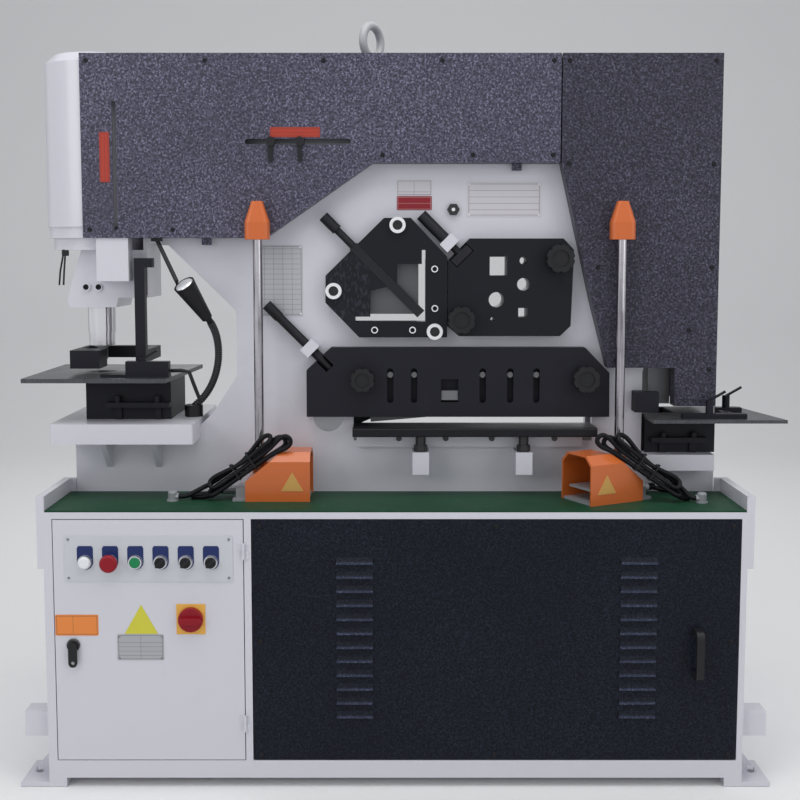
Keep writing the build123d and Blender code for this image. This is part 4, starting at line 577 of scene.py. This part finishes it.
# Geometry Nodes trees
class Tree(Nodes):
    """A Geometry Nodes tree with named inputs and one mesh as its result."""

    def __init__(self, name, inputs):
        super().__init__(bpy.data.node_groups.new(name, "GeometryNodeTree"))
        face = self.tree.interface
        face.new_socket("Geometry", in_out="OUTPUT", socket_type="NodeSocketGeometry")
        face.new_socket("Geometry", in_out="INPUT", socket_type="NodeSocketGeometry")
        for label, kind in inputs.items():
            face.new_socket(label, in_out="INPUT", socket_type="NodeSocket" + kind)
        self.entry = self.make("NodeGroupInput")

    def given(self, label):
        return self.entry.outputs[label]

    def end(self, geometry, material):
        real = self.make("GeometryNodeRealizeInstances", values={0: geometry})
        painted = self.make("GeometryNodeSetMaterial", values={
            0: real.outputs[0], "Material": material})
        self.make("NodeGroupOutput", values={0: painted.outputs[0]})

    def times(self, value, factor):
        node = self.make("ShaderNodeMath", {"operation": "MULTIPLY"}, {0: value, 1: factor})
        return node.outputs[0]


def run_tree(name, tree, data, values, body, smooth=False):
    """Runs a tree on a mesh or curve and keeps the result as a plain mesh."""
    carrier = bpy.data.objects.new(name + "_source", data)
    bpy.context.scene.collection.objects.link(carrier)
    modifier = carrier.modifiers.new("Nodes", "NODES")
    modifier.node_group = tree.tree
    for item in tree.tree.interface.items_tree:
        if item.in_out == "INPUT" and item.name in values:
            modifier[item.identifier] = values[item.name]
    depsgraph = bpy.context.evaluated_depsgraph_get()
    result = bpy.data.meshes.new_from_object(carrier.evaluated_get(depsgraph), depsgraph=depsgraph)
    result.name = name
    carrier.modifiers.remove(modifier)
    bpy.data.objects.remove(carrier)
    if not result.polygons:
        raise RuntimeError(name + ": the node tree made no faces")
    return adopt(name, result, body, smooth)


def screw_tree():
    """Button-head screws with hexagon sockets, one at each point, facing one way."""
    tree = Tree("Screws on a face", {
        "Head radius": "Float", "Head height": "Float", "Facing": "Rotation",
        "Material": "Material"})
    radius = tree.given("Head radius")
    height = tree.given("Head height")
    head = tree.make("GeometryNodeMeshCone", {"fill_type": "NGON"}, {
        "Vertices": 18, "Radius Top": tree.times(radius, 0.72), "Radius Bottom": radius,
        "Depth": height})
    hole = tree.make("GeometryNodeMeshCylinder", {"fill_type": "NGON"}, {
        "Vertices": 6, "Radius": tree.times(radius, 0.46), "Depth": height})
    up = tree.make("ShaderNodeCombineXYZ", values={"Z": tree.times(height, 0.95)})
    raised = tree.make("GeometryNodeTransform", values={
        0: hole.outputs[0], "Translation": up.outputs[0]})
    cut = tree.make("GeometryNodeMeshBoolean", {"operation": "DIFFERENCE"}, {
        0: head.outputs[0], 1: raised.outputs[0]})
    points = tree.make("GeometryNodeMeshToPoints", values={0: tree.given("Geometry")})
    screws = tree.make("GeometryNodeInstanceOnPoints", values={
        0: points.outputs[0], "Instance": cut.outputs[0], "Rotation": tree.given("Facing")})
    tree.end(screws.outputs[0], tree.given("Material"))
    return tree


def rib_tree():
    """Rings set close along a curve, such as the turns of a flexible neck."""
    tree = Tree("Rings along a curve", {
        "Ring radius": "Float", "Wire radius": "Float", "Pitch": "Float", "Material": "Material"})
    points = tree.make("GeometryNodeCurveToPoints", {"mode": "LENGTH"}, {
        0: tree.given("Geometry"), "Length": tree.given("Pitch")})
    line, wire = (
        tree.make("GeometryNodeCurvePrimitiveCircle", values={
            "Resolution": count, "Radius": tree.given(label)})
        for count, label in ((20, "Ring radius"), (6, "Wire radius")))
    band = tree.make("GeometryNodeCurveToMesh", values={0: line.outputs[0], 1: wire.outputs[0]})
    rings = tree.make("GeometryNodeInstanceOnPoints", values={
        0: points.outputs[0], "Instance": band.outputs[0], "Rotation": points.outputs["Rotation"]})
    tree.end(rings.outputs[0], tree.given("Material"))
    return tree


# Places of screws and rivets
def at_depth(y, places):
    return [(x, y, z) for x, z in places]


def four(x, z, across, up):
    """Corners of a plate about its middle."""
    return [(x + sx * across, z + sz * up) for sx in (-1, 1) for sz in (-1, 1)]


def back_of(node):
    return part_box(node)[1][1] / MM


# Foot switch cables
LEFT_START = (-198.0, -216.0, -1.0)
RIGHT_START = (427.0, -236.0, 1.0)
# Where a bundle begins on its hood, and how far along it comes down to the mat
LEAN_FROM, LEAN_HEIGHT, LEAN_RUN = 70.0, 113.3, 164.2
SLOPE = math.atan(LEAN_HEIGHT / LEAN_RUN)
# Distance before a turn from which its run lies straight
FOLD_LEAD = 10.5


def on_mat(start, points):
    """From (along, height, forward) beside a foot switch to the frame of the machine."""
    x, y, side = start
    return [(x + side * along, y - forward, MAT_TOP + up) for along, up, forward in points]


def on_slope(start, points):
    """From (down the slope, off the slope, forward) on a leaning bundle to the machine's frame."""
    flat = []
    for down, off, forward in points:
        along = LEAN_FROM + down * math.cos(SLOPE) + off * math.sin(SLOPE)
        up = LEAN_HEIGHT - down * math.sin(SLOPE) + off * math.cos(SLOPE)
        flat.append((along, up, forward))
    return on_mat(start, flat)


def fold(end, way, first, second):
    """Round turn of a cable at one end of its bundle, from one run to the next."""
    middle = [(a + b) / 2 for a, b in zip(first, second)]
    half = [(b - a) / 2 for a, b in zip(first, second)]
    reach = math.hypot(*half)
    before = end - way * FOLD_LEAD
    bend = [(before, *first)]
    for degrees in range(-90, 91, 36):
        out, over = math.cos(math.radians(degrees)), math.sin(math.radians(degrees))
        down = end + way * reach * out
        bend.append((down, middle[0] + half[0] * over, middle[1] + half[1] * over))
    return bend + [(before, *second)]


def bundle(start, ends):
    """Six runs of cable with five folds, as (down the slope, off the slope, forward)."""
    one, two, three, low, lower = ends
    runs = [(152, 6, 10), (114, 6, 10), (74, 6, 10), (40, 6.2, 10), (one + 26, 6, 10)]
    runs += fold(one, -1, (5, 10), (31, 10))
    runs += [(one + 28, 26.6, 10), (one + 52, 21, 10), (74, 18, 10), (108, 18, 10), (138, 18, 10),
             (low - 24, 18, 10)]
    runs += fold(low, 1, (18, 10.4), (6.4, 34.4))
    runs += [(low - 27, 6, 31), (low - 45, 6, 26), (112, 6, 22.6), (78, 6, 22), (44, 6.2, 22),
             (16, 6.2, 22), (two + 24, 4, 22)]
    runs += fold(two, -1, (0.6, 22), (26.6, 22))
    runs += [(two + 28, 22.6, 22), (two + 52, 18.6, 22), (64, 18, 22), (96, 18, 22),
             (lower - 52, 18, 24.4), (lower - 28, 18, 30)]
    runs += fold(lower, 1, (18, 34), (38.4, 20.6))
    runs += [(lower - 27, 36, 20.8), (lower - 48, 32.4, 21.4), (90, 30, 22), (62, 30.2, 24),
             (three + 28, 33, 28)]
    runs += fold(three, -1, (35, 31.6), (50, 11.2))
    runs += [(three + 28, 45, 9.8), (three + 52, 37, 9.4), (84, 31, 9.8), (112, 29.6, 10),
             (136, 29.6, 10.2), (154, 29.6, 10.4)]
    return on_slope(start, runs)


# Where the folds lie down the slope: three upper ones, two lower ones
LEFT_FOLDS = (-12, -24, 10, 180, 166)
RIGHT_FOLDS = (-16, -34, 2, 174, 160)
LEFT_EXIT_AT = (-396.0, -216.0, -1.0)
LEFT_EXIT = [
    (10, 17, -18), (24, 16.6, -18), (38, 12, -18), (50, 7.4, -18), (60, 6, -18), (68, 6, -18),
    (76.3, 6, -15.3), (81.5, 6, -8.2), (81.5, 6, 0.6), (76.3, 6, 7.7), (68, 6, 10.4), (57, 6, 10.4),
    (43, 7.4, 10.4), (30, 12, 10.2),
]
LEFT_TAIL = [
    (232, 38, 11), (250, 29.5, 14.5), (268, 20.4, 20), (283, 12.2, 24.6), (296, 10, 26),
    (306, 10, 26),
]
RIGHT_LEAD = [
    (600.65, -162.35, 657), (612.13, -156.25, 657), (628, -150.5, 651), (646, -148.5, 646.5),
    (664, -154, 646), (679, -167, 646), (686.5, -186, 646), (686, -205, 646), (683, -218, 646),
    (683, -230, 646),
]
RIGHT_TURN = [(255.6, 6, 0), (253, 6, 5.6), (247, 6, 9.6), (239, 7.6, 10.6), (230, 11, 10.4)]
RIGHT_TAIL = [
    (228, 38.5, 11.4), (238, 30, 14), (246, 21, 18), (252.6, 14, 22.4), (259, 10.4, 25.2),
    (266, 10, 26),
]


def cable_curve(name, points, finish):
    """Round cable along one smooth curve through the given points."""
    data = bpy.data.curves.new(name, "CURVE")
    data.dimensions = "3D"
    data.resolution_u = 6
    data.bevel_depth = CABLE_R * MM
    data.bevel_resolution = 4
    data.use_fill_caps = True
    spline = data.splines.new("NURBS")
    spline.points.add(len(points) - 1)
    for control, point in zip(spline.points, points):
        control.co = (*(c * MM for c in point), 1.0)
    spline.order_u = 3
    spline.use_endpoint_u = True
    data.materials.append(finish.material)
    return adopt(name, data, "machine")


def curve_length(cable):
    """Length of the cable's own centreline, in metres."""
    bare = cable.data.copy()
    bare.bevel_depth = 0.0
    carrier = bpy.data.objects.new("centreline", bare)
    bpy.context.scene.collection.objects.link(carrier)
    depsgraph = bpy.context.evaluated_depsgraph_get()
    line = bpy.data.meshes.new_from_object(carrier.evaluated_get(depsgraph))
    bpy.data.objects.remove(carrier)
    places = [v.co.copy() for v in line.vertices]
    bpy.data.meshes.remove(line)
    return sum((b - a).length for a, b in zip(places, places[1:]))


def strain_relief(name, tip, heading, finish):
    """Tapered rubber sleeve with grooves, where a cable leaves its gland."""
    steps = [(0, 9.0)]
    for groove in range(4):
        along = 1.0 + 5.0 * groove
        steps += [(along, 9.0 - 0.4 * groove), (along + 3.4, 8.8 - 0.4 * groove),
                  (along + 3.6, 7.8 - 0.3 * groove), (along + 4.8, 7.7 - 0.3 * groove)]
    steps += [(21.4, 6.7)]
    return settle(name, lambda mesh: add_turned(mesh, tip, heading, steps, 24), finish,
                  "machine")


def cable_tie(mesh, start, down, near=3.9, far=30.6, width=3.2, thick=1.3):
    """Flat tie round the bundle at one place down the slope, with its lock."""
    high = 38.6 + max(0.0, 80.0 - down) * 0.2
    edges = [[Vector(p) for p in on_slope(start, [(down - width / 2, off, forward),
                                                  (down + width / 2, off, forward)])]
             for off, forward in rounded(-0.2, high, near, far, 5.0)]
    middle = sum((a + b for a, b in edges), Vector()) / (2 * len(edges))
    rows = []
    for a, b in edges:
        out = ((a + b) / 2 - middle).normalized() * thick
        rows.append([mesh.verts.new(p * MM) for p in (a, b, b + out, a + out)])
    skin(mesh, rows, True)
    lock = on_slope(start, [(down, high + 1.5, far - 7)])[0]
    place = Matrix.Translation(Vector(lock) * MM) @ Matrix.Rotation(start[2] * SLOPE, 4, "Y")
    bmesh.ops.create_cube(mesh, size=1.0, matrix=place @ Matrix.Diagonal((0.006, 0.005, 0.005, 1)))


# Panel in the sidebar and what a user may change
class MachineLook(bpy.types.PropertyGroup):
    """Colours and sizes of the finish."""
    white: bpy.props.FloatVectorProperty(
        name="White enamel", description="Colour of the cabinet and the frame",
        subtype="COLOR", size=3, default=(0.65, 0.645, 0.705))
    charcoal: bpy.props.FloatVectorProperty(
        name="Hammer paint", description="Colour of the covers",
        subtype="COLOR", size=3, default=(0.040, 0.038, 0.056))
    orange: bpy.props.FloatVectorProperty(
        name="Orange enamel", description="Colour of the foot switch hoods",
        subtype="COLOR", size=3, default=(0.60, 0.135, 0.022))
    cover_screw: bpy.props.FloatProperty(
        name="Cover screw", description="Radius of the screw heads on the covers",
        default=0.0055, unit="LENGTH")
    plate_rivet: bpy.props.FloatProperty(
        name="Plate rivet", description="Radius of the rivets in the small plates",
        default=0.0028, unit="LENGTH")
    light: bpy.props.FloatProperty(
        name="Light level", description="Strength of the studio lamps",
        default=1.0, min=0.1, max=4.0)


FINISHES = {}


class MACHINE_OT_finishes(bpy.types.Operator):
    """Make the paints and metals and give them to the CAD parts"""
    bl_idname = "machine.finishes"
    bl_label = "Paints and metals"

    def execute(self, context):
        look = context.scene.machine_look
        charcoal = tuple(look.charcoal)
        paints = (
            (enamel("white_enamel", tuple(look.white)),
             "cabinet_frame cabinet_shell control_door front_frame_plate rear_frame_plate"
             " punch_cylinder punch_head table_saddles support_blocks"),
            (hammered("charcoal_hammer", charcoal), "main_cover"),
            # The right cover has the covers' hammer paint darkened to 0.55 as painted shade
            (hammered("side_hammer", tint(charcoal, 0.55)), "right_cover"),
            (hammered("panel_hammer", (0.0052, 0.0062, 0.0105), 230.0, 0.55, 0.4, 0.12, DOOR_FACE),
             "front_panel"),
            (enamel("orange_enamel", tuple(look.orange), 0.16, 0.3), "switch_hoods"),
            (blackened("black_steel", (0.011, 0.011, 0.016)),
             "flat_shear_housing stripper die_blocks punch_gauge notch_gauge"),
            (blackened("black_plate", (0.0085, 0.009, 0.0125), 0.4, True),
             "angle_shear_plate section_shear_plate"),
            (threaded("clamp_screws", (0.008, 0.008, 0.010)),
             "angle_clamp section_clamp flat_clamp"),
            (blackened("beam_steel", (0.030, 0.031, 0.035), 0.5), "shear_beam"),
            (ground("ground_steel", (0.34, 0.345, 0.36)), "punch_tool beam_pivot_pin"),
            (ground("blade_steel", (0.20, 0.20, 0.21), 0.38, (40.0, 1.0, 40.0)),
             "fixed_blades moving_blades"),
            (ground("neck_steel", (0.10, 0.10, 0.11), 0.3), ""),
            (tables_finish(), "work_tables"),
            (bolts_finish(), "plate_bolts"),
            (chromed("bright_steel", (0.62, 0.61, 0.62)), "shear_rod punch_ram"),
            (pole_finish(), "switch_poles"),
            (moulded("black_plastic", (0.012, 0.012, 0.014)),
             "section_knob_upper section_knob_lower flat_knob_left flat_knob_right bow_handle"
             " stop_pin_a stop_pin_b work_lamp selector_a selector_b selector_c lock_key"),
            (moulded("red_plastic", (0.24, 0.006, 0.014), 0.25), "stop_button isolator_knob"),
            (moulded("green_plastic", (0.012, 0.20, 0.075), 0.25), "start_button"),
            (rubber_mat(), "green_mat"),
            (enamel("grey_cast", (0.26, 0.27, 0.285), 0.3, 0.42),
             "shear_cylinder power_unit switch_bases left_pedal right_pedal"),
            (door_fittings_finish(), "door_fittings"),
            (cable_rubber(), ""),
            (enamel("galvanised_eye", (0.42, 0.425, 0.44), 0.5, 0.45), "lifting_eye"),
            (moulded("device_plastic", (0.30, 0.31, 0.33), 0.45), "control_backplate"),
        )
        for finish, nodes in paints:
            FINISHES[finish.name] = finish
            for node in nodes.split():
                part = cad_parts[node]
                if not part.material_slots:
                    part.data.materials.append(None)
                for place in part.material_slots:
                    place.material = finish.material
        return {"FINISHED"}


class MACHINE_OT_cables(bpy.types.Operator):
    """Lay the folded cable on each foot switch, with its sleeve and ties"""
    bl_idname = "machine.cables"
    bl_label = "Foot switch cables"

    def execute(self, context):
        rubber = FINISHES["cable_rubber"]
        left = on_mat(LEFT_EXIT_AT, LEFT_EXIT)
        left += bundle(LEFT_START, LEFT_FOLDS) + on_mat(LEFT_START, LEFT_TAIL)
        right = RIGHT_LEAD + on_mat(RIGHT_START, RIGHT_TURN)
        right += bundle(RIGHT_START, RIGHT_FOLDS) + on_mat(RIGHT_START, RIGHT_TAIL)
        turn = math.radians(28)
        sets = (
            ("left", left, LEFT_START, (-1.0, 0.0, 0.0), (66, 112), ["left_cable_hank"]),
            ("right", right, RIGHT_START, (math.cos(turn), math.sin(turn), 0.0), (66, 106),
             ["right_cable_hank", "right_cable_lead"]),
        )
        for side, route, start, heading, ties, solids in sets:
            cable = cable_curve(side + "_switch_cable", route, rubber)
            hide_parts(*solids)
            sleeve = strain_relief(side + "_cable_sleeve", route[0], heading, rubber)

            def tie_mesh(mesh):
                for down in ties:
                    cable_tie(mesh, start, down)

            tie = settle(side + "_cable_ties", tie_mesh, FINISHES["black_plastic"],
                         "machine")
            tuple(c * MM for c in route[0])
            round(curve_length(cable), 3)
        return {"FINISHED"}


class MACHINE_OT_door_plates(bpy.types.Operator):
    """Put the bare plates and legends on the control door"""
    bl_idname = "machine.door_plates"
    bl_label = "Door plates"

    def execute(self, context):
        blue = printed("legend_blue", (0.012, 0.026, 0.12))
        for place in range(BUTTONS):
            x = FIRST_BUTTON + place * BUTTON_PITCH
            settle("legend_plate_%d" % (place + 1), lambda mesh: add_shield(mesh, x, BUTTON_Z),
                   blue, "control_door")
        door = (DOOR_FACE, 3, "control_door", "panel_fittings")
        bare_plate("rating_plate", (-628, -523, 297, 357), (0.42, 0.43, 0.45), 2.5,
                   (0.10, 0.10, 0.11), (-575,), (308, 318, 328, 338), *door)
        bare_plate("orange_label", (-767, -670, 354, 402), (0.82, 0.26, 0.06), 2.5,
                   (0.03, 0.03, 0.03), (-727,), (), *door)

        def triangle(mesh):
            outline = [(-573, 425), (-611, 358), (-536, 358)]
            add_prism(mesh, outline, DOOR_FACE - PLATE_THICK, DOOR_FACE)

        yellow = printed("yellow_print", (0.66, 0.62, 0.06))
        settle("door_plate_yellow", triangle, yellow, "control_door")
        return {"FINISHED"}


class MACHINE_OT_frame_plates(bpy.types.Operator):
    """Put the bare nameplate, chart and labels on the frame and the covers"""
    bl_idname = "machine.frame_plates"
    bl_label = "Frame plates"

    def execute(self, context):
        white = (0.62, 0.61, 0.64)
        ink = (0.10, 0.035, 0.04)
        grey = (0.12, 0.12, 0.14)
        red = (0.42, 0.05, 0.03)
        plates = (
            ("name_plate", (169, 345, 1299, 1381), white, 4.0, ink, (), (1316, 1331, 1346, 1361),
             FRAME_FACE),
            ("capacity_chart", (-329, -221, 1064, 1233), (0.50, 0.51, 0.54), 3.0, grey,
             (-312, -290, -268, -246), range(1080, 1226, 12), FRAME_FACE),
            ("upper_label", (3, 86, 1349, 1386), white, 2.0, grey, (44,), (1358,), FRAME_FACE),
            ("lower_label", (3, 86, 1315, 1348), (0.28, 0.02, 0.03), 2.0, (0.5, 0.4, 0.4), (),
             (1331,), FRAME_FACE),
            ("upright_label", (-687, -664, 1378, 1493), red, 2.0, ink, (-675,), (), COVER_FACE),
            ("level_label", (-291, -175, 1481, 1504), red, 2.0, ink, (), (1492,), COVER_FACE),
        )
        for plate in plates:
            bare_plate(*plate, 2.5, "machine", "white_paint")
        return {"FINISHED"}


class MACHINE_OT_screws(bpy.types.Operator):
    """Set the screws of the panel, the covers and the small plates"""
    bl_idname = "machine.screws"
    bl_label = "Screws and rivets"

    def execute(self, context):
        look = context.scene.machine_look
        tree = screw_tree()
        panel = [(x, z) for x in (-305, 225, 757) for z in (76, 604)] + [(-305, 340), (757, 340)]
        top = [(x, 1656) for x in (-714, -440, -166, 108, 366, 402, 740)]
        low = [(-714, 1268), (-520, 1268), (-330, 1268), (-30, 1441), (180, 1441), (366, 1441)]
        right = [(740, 1420), (740, 1180), (740, 940), (402, 1422), (474, 1181), (520, 962),
                 (690, 1033)]
        head = [(-736.4, 1133.4), (-706.6, 1133.4)]
        plate_face = FRAME_FACE - PLATE_THICK
        cover = (look.cover_screw, 0.0035, "black_plastic", "machine", "black_plastic")
        sets = (
            ("panel_screws", at_depth(DOOR_FACE, panel), *cover),
            ("cover_screws", at_depth(COVER_FACE, top + low + right), *cover),
            ("button_plate_screws", at_depth(DOOR_FACE - 2, four(-553.5, 531, 180, 44)),
             0.0032, 0.0018, "ground_steel", "control_door", "panel_fittings"),
            ("rating_plate_rivets", at_depth(DOOR_FACE - PLATE_THICK, four(-575.5, 327, 48, 25)),
             look.plate_rivet, 0.0012, "ground_steel", "control_door", "panel_fittings"),
            ("name_plate_rivets",
             at_depth(plate_face, four(257, 1340, 83, 36) + four(-275, 1148.5, 49, 79)),
             look.plate_rivet, 0.0014, "bolt_steel", "machine", "ground_steel"),
            ("head_screws", at_depth(FRAME_FACE, head), 0.009, 0.007, "black_steel", "machine",
             "black_steel"),
        )
        for piece in sets:
            self.screws(tree, TOWARDS_OPERATOR, *piece)
        back = at_depth(back_of("main_cover"), [p for p in top + low if p[0] < COVER_JOINT])
        back += at_depth(back_of("right_cover"), [p for p in right + top if p[0] > COVER_JOINT])
        shell = [(x, z) for x in (-740, -370, 0, 370, 740) for z in (66, 610)]
        shell += [(-740, 338), (740, 338)]
        back += at_depth(back_of("cabinet_shell") - SHELL_SCREW_SINK, shell)
        self.screws(tree, TO_THE_BACK, "back_screws", back, *cover)
        return {"FINISHED"}

    def screws(self, tree, facing, title, points, radius, height, finish, body, slot):
        data = bpy.data.meshes.new(title)
        data.from_pydata([tuple(c * MM for c in point) for point in points], [], [])
        values = {"Head radius": radius, "Head height": height, "Facing": facing,
                  "Material": FINISHES[finish].material}
        run_tree(title, tree, data, values, body)


class MACHINE_OT_punch_fittings(bpy.types.Operator):
    """Add the lamp's lens and ribs, the lever beside it and the switch on the head"""
    bl_idname = "machine.punch_fittings"
    bl_label = "Punch station fittings"

    def execute(self, context):
        self.lamp_details()
        black = FINISHES["black_plastic"]
        lever = [(-530, -172, 937), (-505, -176, 938), (-487, -176, 935), (-474, -170, 895),
                 (-462, -160, 858)]
        settle("gauge_lever", lambda mesh: add_pipe(mesh, lever, 4.5), black,
               "machine")

        def limit_switch(mesh):
            add_prism(mesh, rounded(-791, -776, 1207, 1222, 2), -138, FRAME_FACE)
            for top, middle, low in ((-789, -796, -799), (-784, -787, -789)):
                wire = [(top, -135, 1208), (middle, -136, 1172), (low, -137, 1138)]
                add_pipe(mesh, wire, 2.2, 10)

        settle("limit_switch", limit_switch, black, "machine")
        return {"FINISHED"}

    def lamp_details(self):
        """Lens in the mouth of the shade, and the rings of the bendy neck."""
        dome = [(-5.8, 22.6), (-2.0, 22.6), (0.6, 20.4), (2.6, 16.0), (3.8, 10.0), (4.3, 3.0)]
        aim = LAMP_MOUTH - LAMP_NECK_END
        settle("lamp_lens", lambda mesh: add_turned(mesh, LAMP_MOUTH, aim, dome, 40), lens_glass(),
               "machine", smooth=True)
        line = bpy.data.curves.new("neck_line", "CURVE")
        line.dimensions = "3D"
        line.resolution_u = 12
        spline = line.splines.new("BEZIER")
        spline.bezier_points.add(len(NECK) - 1)
        for bend, point in zip(spline.bezier_points, NECK):
            bend.co = [c * MM for c in point]
            bend.handle_left_type = "AUTO"
            bend.handle_right_type = "AUTO"
        clip = [(-507, -206, 1150), (-507.8, -201, 1144), (-507, -196.5, 1137)]
        settle("lamp_clip", lambda mesh: add_pipe(mesh, clip, 3.2), FINISHES["black_plastic"],
               "machine")
        values = {"Ring radius": 0.0082, "Wire radius": 0.0013, "Pitch": 0.0056,
                  "Material": FINISHES["neck_steel"].material}
        run_tree("lamp_neck_rings", rib_tree(), line, values, "machine",
                 smooth=True)


class MACHINE_OT_hood_marks(bpy.types.Operator):
    """Put a bare yellow triangle on the side of each foot switch hood"""
    bl_idname = "machine.hood_marks"
    bl_label = "Hood marks"

    def execute(self, context):
        yellow = printed("hood_yellow", (0.62, 0.36, 0.10))
        sides = (
            ("left", (-198.0, -198.0, 180.0), 41.0, 56.0),
            ("right", (417.0, -260.0, 28.0), 45.0, -56.0),
        )
        for side, (x, y, angle), middle, reach in sides:
            turned = Matrix.Rotation(math.radians(angle), 4, "Z")
            place = Matrix.Translation((x * MM, y * MM, MAT_TOP * MM)) @ turned
            outer = reach + math.copysign(PLATE_THICK, reach)

            def triangle(mesh):
                outline = [(middle, 69), (middle - 26, 25), (middle + 26, 25)]
                add_prism(mesh, outline, min(reach, outer), max(reach, outer))
                mesh.transform(place)

            settle(side + "_hood_plate", triangle, yellow, "machine")
        return {"FINISHED"}


class MACHINE_OT_studio(bpy.types.Operator):
    """Set the camera, the lamps, the floor and the backdrop"""
    bl_idname = "machine.studio"
    bl_label = "Studio"

    def execute(self, context):
        scene = context.scene
        scene.view_settings.view_transform = "Standard"
        level = scene.machine_look.light
        camera = bpy.data.cameras.new("camera")
        camera.lens = 52.97
        camera.sensor_width = 36.0
        camera.shift_x = 0.0056
        camera.shift_y = -0.0461
        camera.clip_end = 60.0
        eye = bpy.data.objects.new("camera", camera)
        eye.location = (0.0, -2.940, 1.2069)
        eye.rotation_euler = (math.radians(84.8), 0.0, 0.0)
        scene.collection.objects.link(eye)
        scene.camera = eye
        lamps = (
            ("overhead", (0.2, -1.2, 4.2), (0.0, 0.0, 1.0), (4.5, 3.0), 95.0),
            ("front_left", (-3.4, -3.6, 2.6), (-0.2, 0.0, 1.0), (2.4, 2.4), 44.0),
            ("front_right", (3.6, -3.2, 2.2), (0.2, 0.0, 0.9), (2.4, 2.4), 30.0),
            ("behind", (0.0, 3.8, 3.2), (0.0, 0.0, 1.0), (3.6, 2.4), 40.0),
        )
        for name, place, target, (width, height), power in lamps:
            lamp = bpy.data.lights.new(name, "AREA")
            lamp.shape = "RECTANGLE"
            lamp.size = width
            lamp.size_y = height
            lamp.energy = power * level
            carrier = bpy.data.objects.new(name, lamp)
            carrier.location = place
            aim = Vector(target) - Vector(place)
            carrier.rotation_euler = aim.to_track_quat("-Z", "Y").to_euler()
            scene.collection.objects.link(carrier)
        self.set_world(scene, level)
        self.set_floor(scene)
        return {"FINISHED"}

    def set_world(self, scene, level):
        world = bpy.data.worlds.new("studio")
        world.use_nodes = True
        scene.world = world
        world.node_tree.nodes.clear()
        tree = Nodes(world.node_tree)
        path = tree.make("ShaderNodeLightPath").outputs
        seen = tree.make("ShaderNodeMath", {"operation": "MAXIMUM"}, {
            0: path["Is Camera Ray"], 1: path["Is Transmission Ray"]})
        through = tree.make("ShaderNodeMath", {"operation": "MAXIMUM"}, {
            0: seen.outputs[0], 1: path["Is Glossy Ray"]})
        shade = tree.make("ShaderNodeMapRange", values={
            0: through.outputs[0], 3: 0.34 * level, 4: 0.95})
        sky = tree.make("ShaderNodeBackground", values={
            "Color": (0.93, 0.95, 1.0, 1.0), "Strength": shade.outputs[0]})
        tree.make("ShaderNodeOutputWorld", values={"Surface": sky.outputs[0]})

    def set_floor(self, scene):
        paint = Finish("studio_floor", (0.86, 0.86, 0.86), 0.7)
        paint.roughness_in(0.62 + 0.1 * paint.noise(2.0, 2.0))
        front, bend, radius, below, steps = -7.0, 4.0, 1.5, -0.001, 8
        profile = [(front, below), (bend, below)]
        for step in range(1, steps + 1):
            angle = math.radians(90 * step / steps)
            rise = radius - radius * math.cos(angle)
            profile.append((bend + radius * math.sin(angle), rise + below))
        profile.append((bend + radius, 7.0))
        mesh = bmesh.new()
        rows = [[mesh.verts.new((x, y, z)) for x in (-9.0, 9.0)] for y, z in profile]
        for first, second in zip(rows, rows[1:]):
            mesh.faces.new((first[0], first[1], second[1], second[0]))
        data = bpy.data.meshes.new("studio_floor")
        mesh.to_mesh(data)
        mesh.free()
        data.materials.append(paint.material)
        data.shade_smooth()
        floor = bpy.data.objects.new("studio_floor", data)
        scene.collection.objects.link(floor)


class MACHINE_PT_panel(bpy.types.Panel):
    """Steps that finish the machine"""
    bl_idname = "MACHINE_PT_panel"
    bl_label = "Machine"
    bl_space_type = "VIEW_3D"
    bl_region_type = "UI"
    bl_category = "Machine"

    def draw(self, context):
        look = context.scene.machine_look
        column = self.layout.column()
        for name in ("white", "charcoal", "orange", "cover_screw", "plate_rivet", "light"):
            column.prop(look, name)
        for step in STEPS:
            column.operator(step.bl_idname)


STEPS = (
    MACHINE_OT_finishes, MACHINE_OT_studio, MACHINE_OT_cables, MACHINE_OT_door_plates,
    MACHINE_OT_frame_plates, MACHINE_OT_screws, MACHINE_OT_punch_fittings, MACHINE_OT_hood_marks,
)


def register():
    for group in (MachineLook, *STEPS, MACHINE_PT_panel):
        bpy.utils.register_class(group)
    bpy.types.Scene.machine_look = bpy.props.PointerProperty(type=MachineLook)


def unregister():
    del bpy.types.Scene.machine_look
    for group in reversed((MachineLook, *STEPS, MACHINE_PT_panel)):
        bpy.utils.unregister_class(group)


def main():
    register()
    bpy.ops.machine.finishes()
    bpy.ops.machine.studio()
    bpy.ops.machine.cables()
    bpy.ops.machine.door_plates()
    bpy.ops.machine.frame_plates()
    bpy.ops.machine.screws()
    bpy.ops.machine.punch_fittings()
    bpy.ops.machine.hood_marks()


if __name__ == "__main__":
    main()
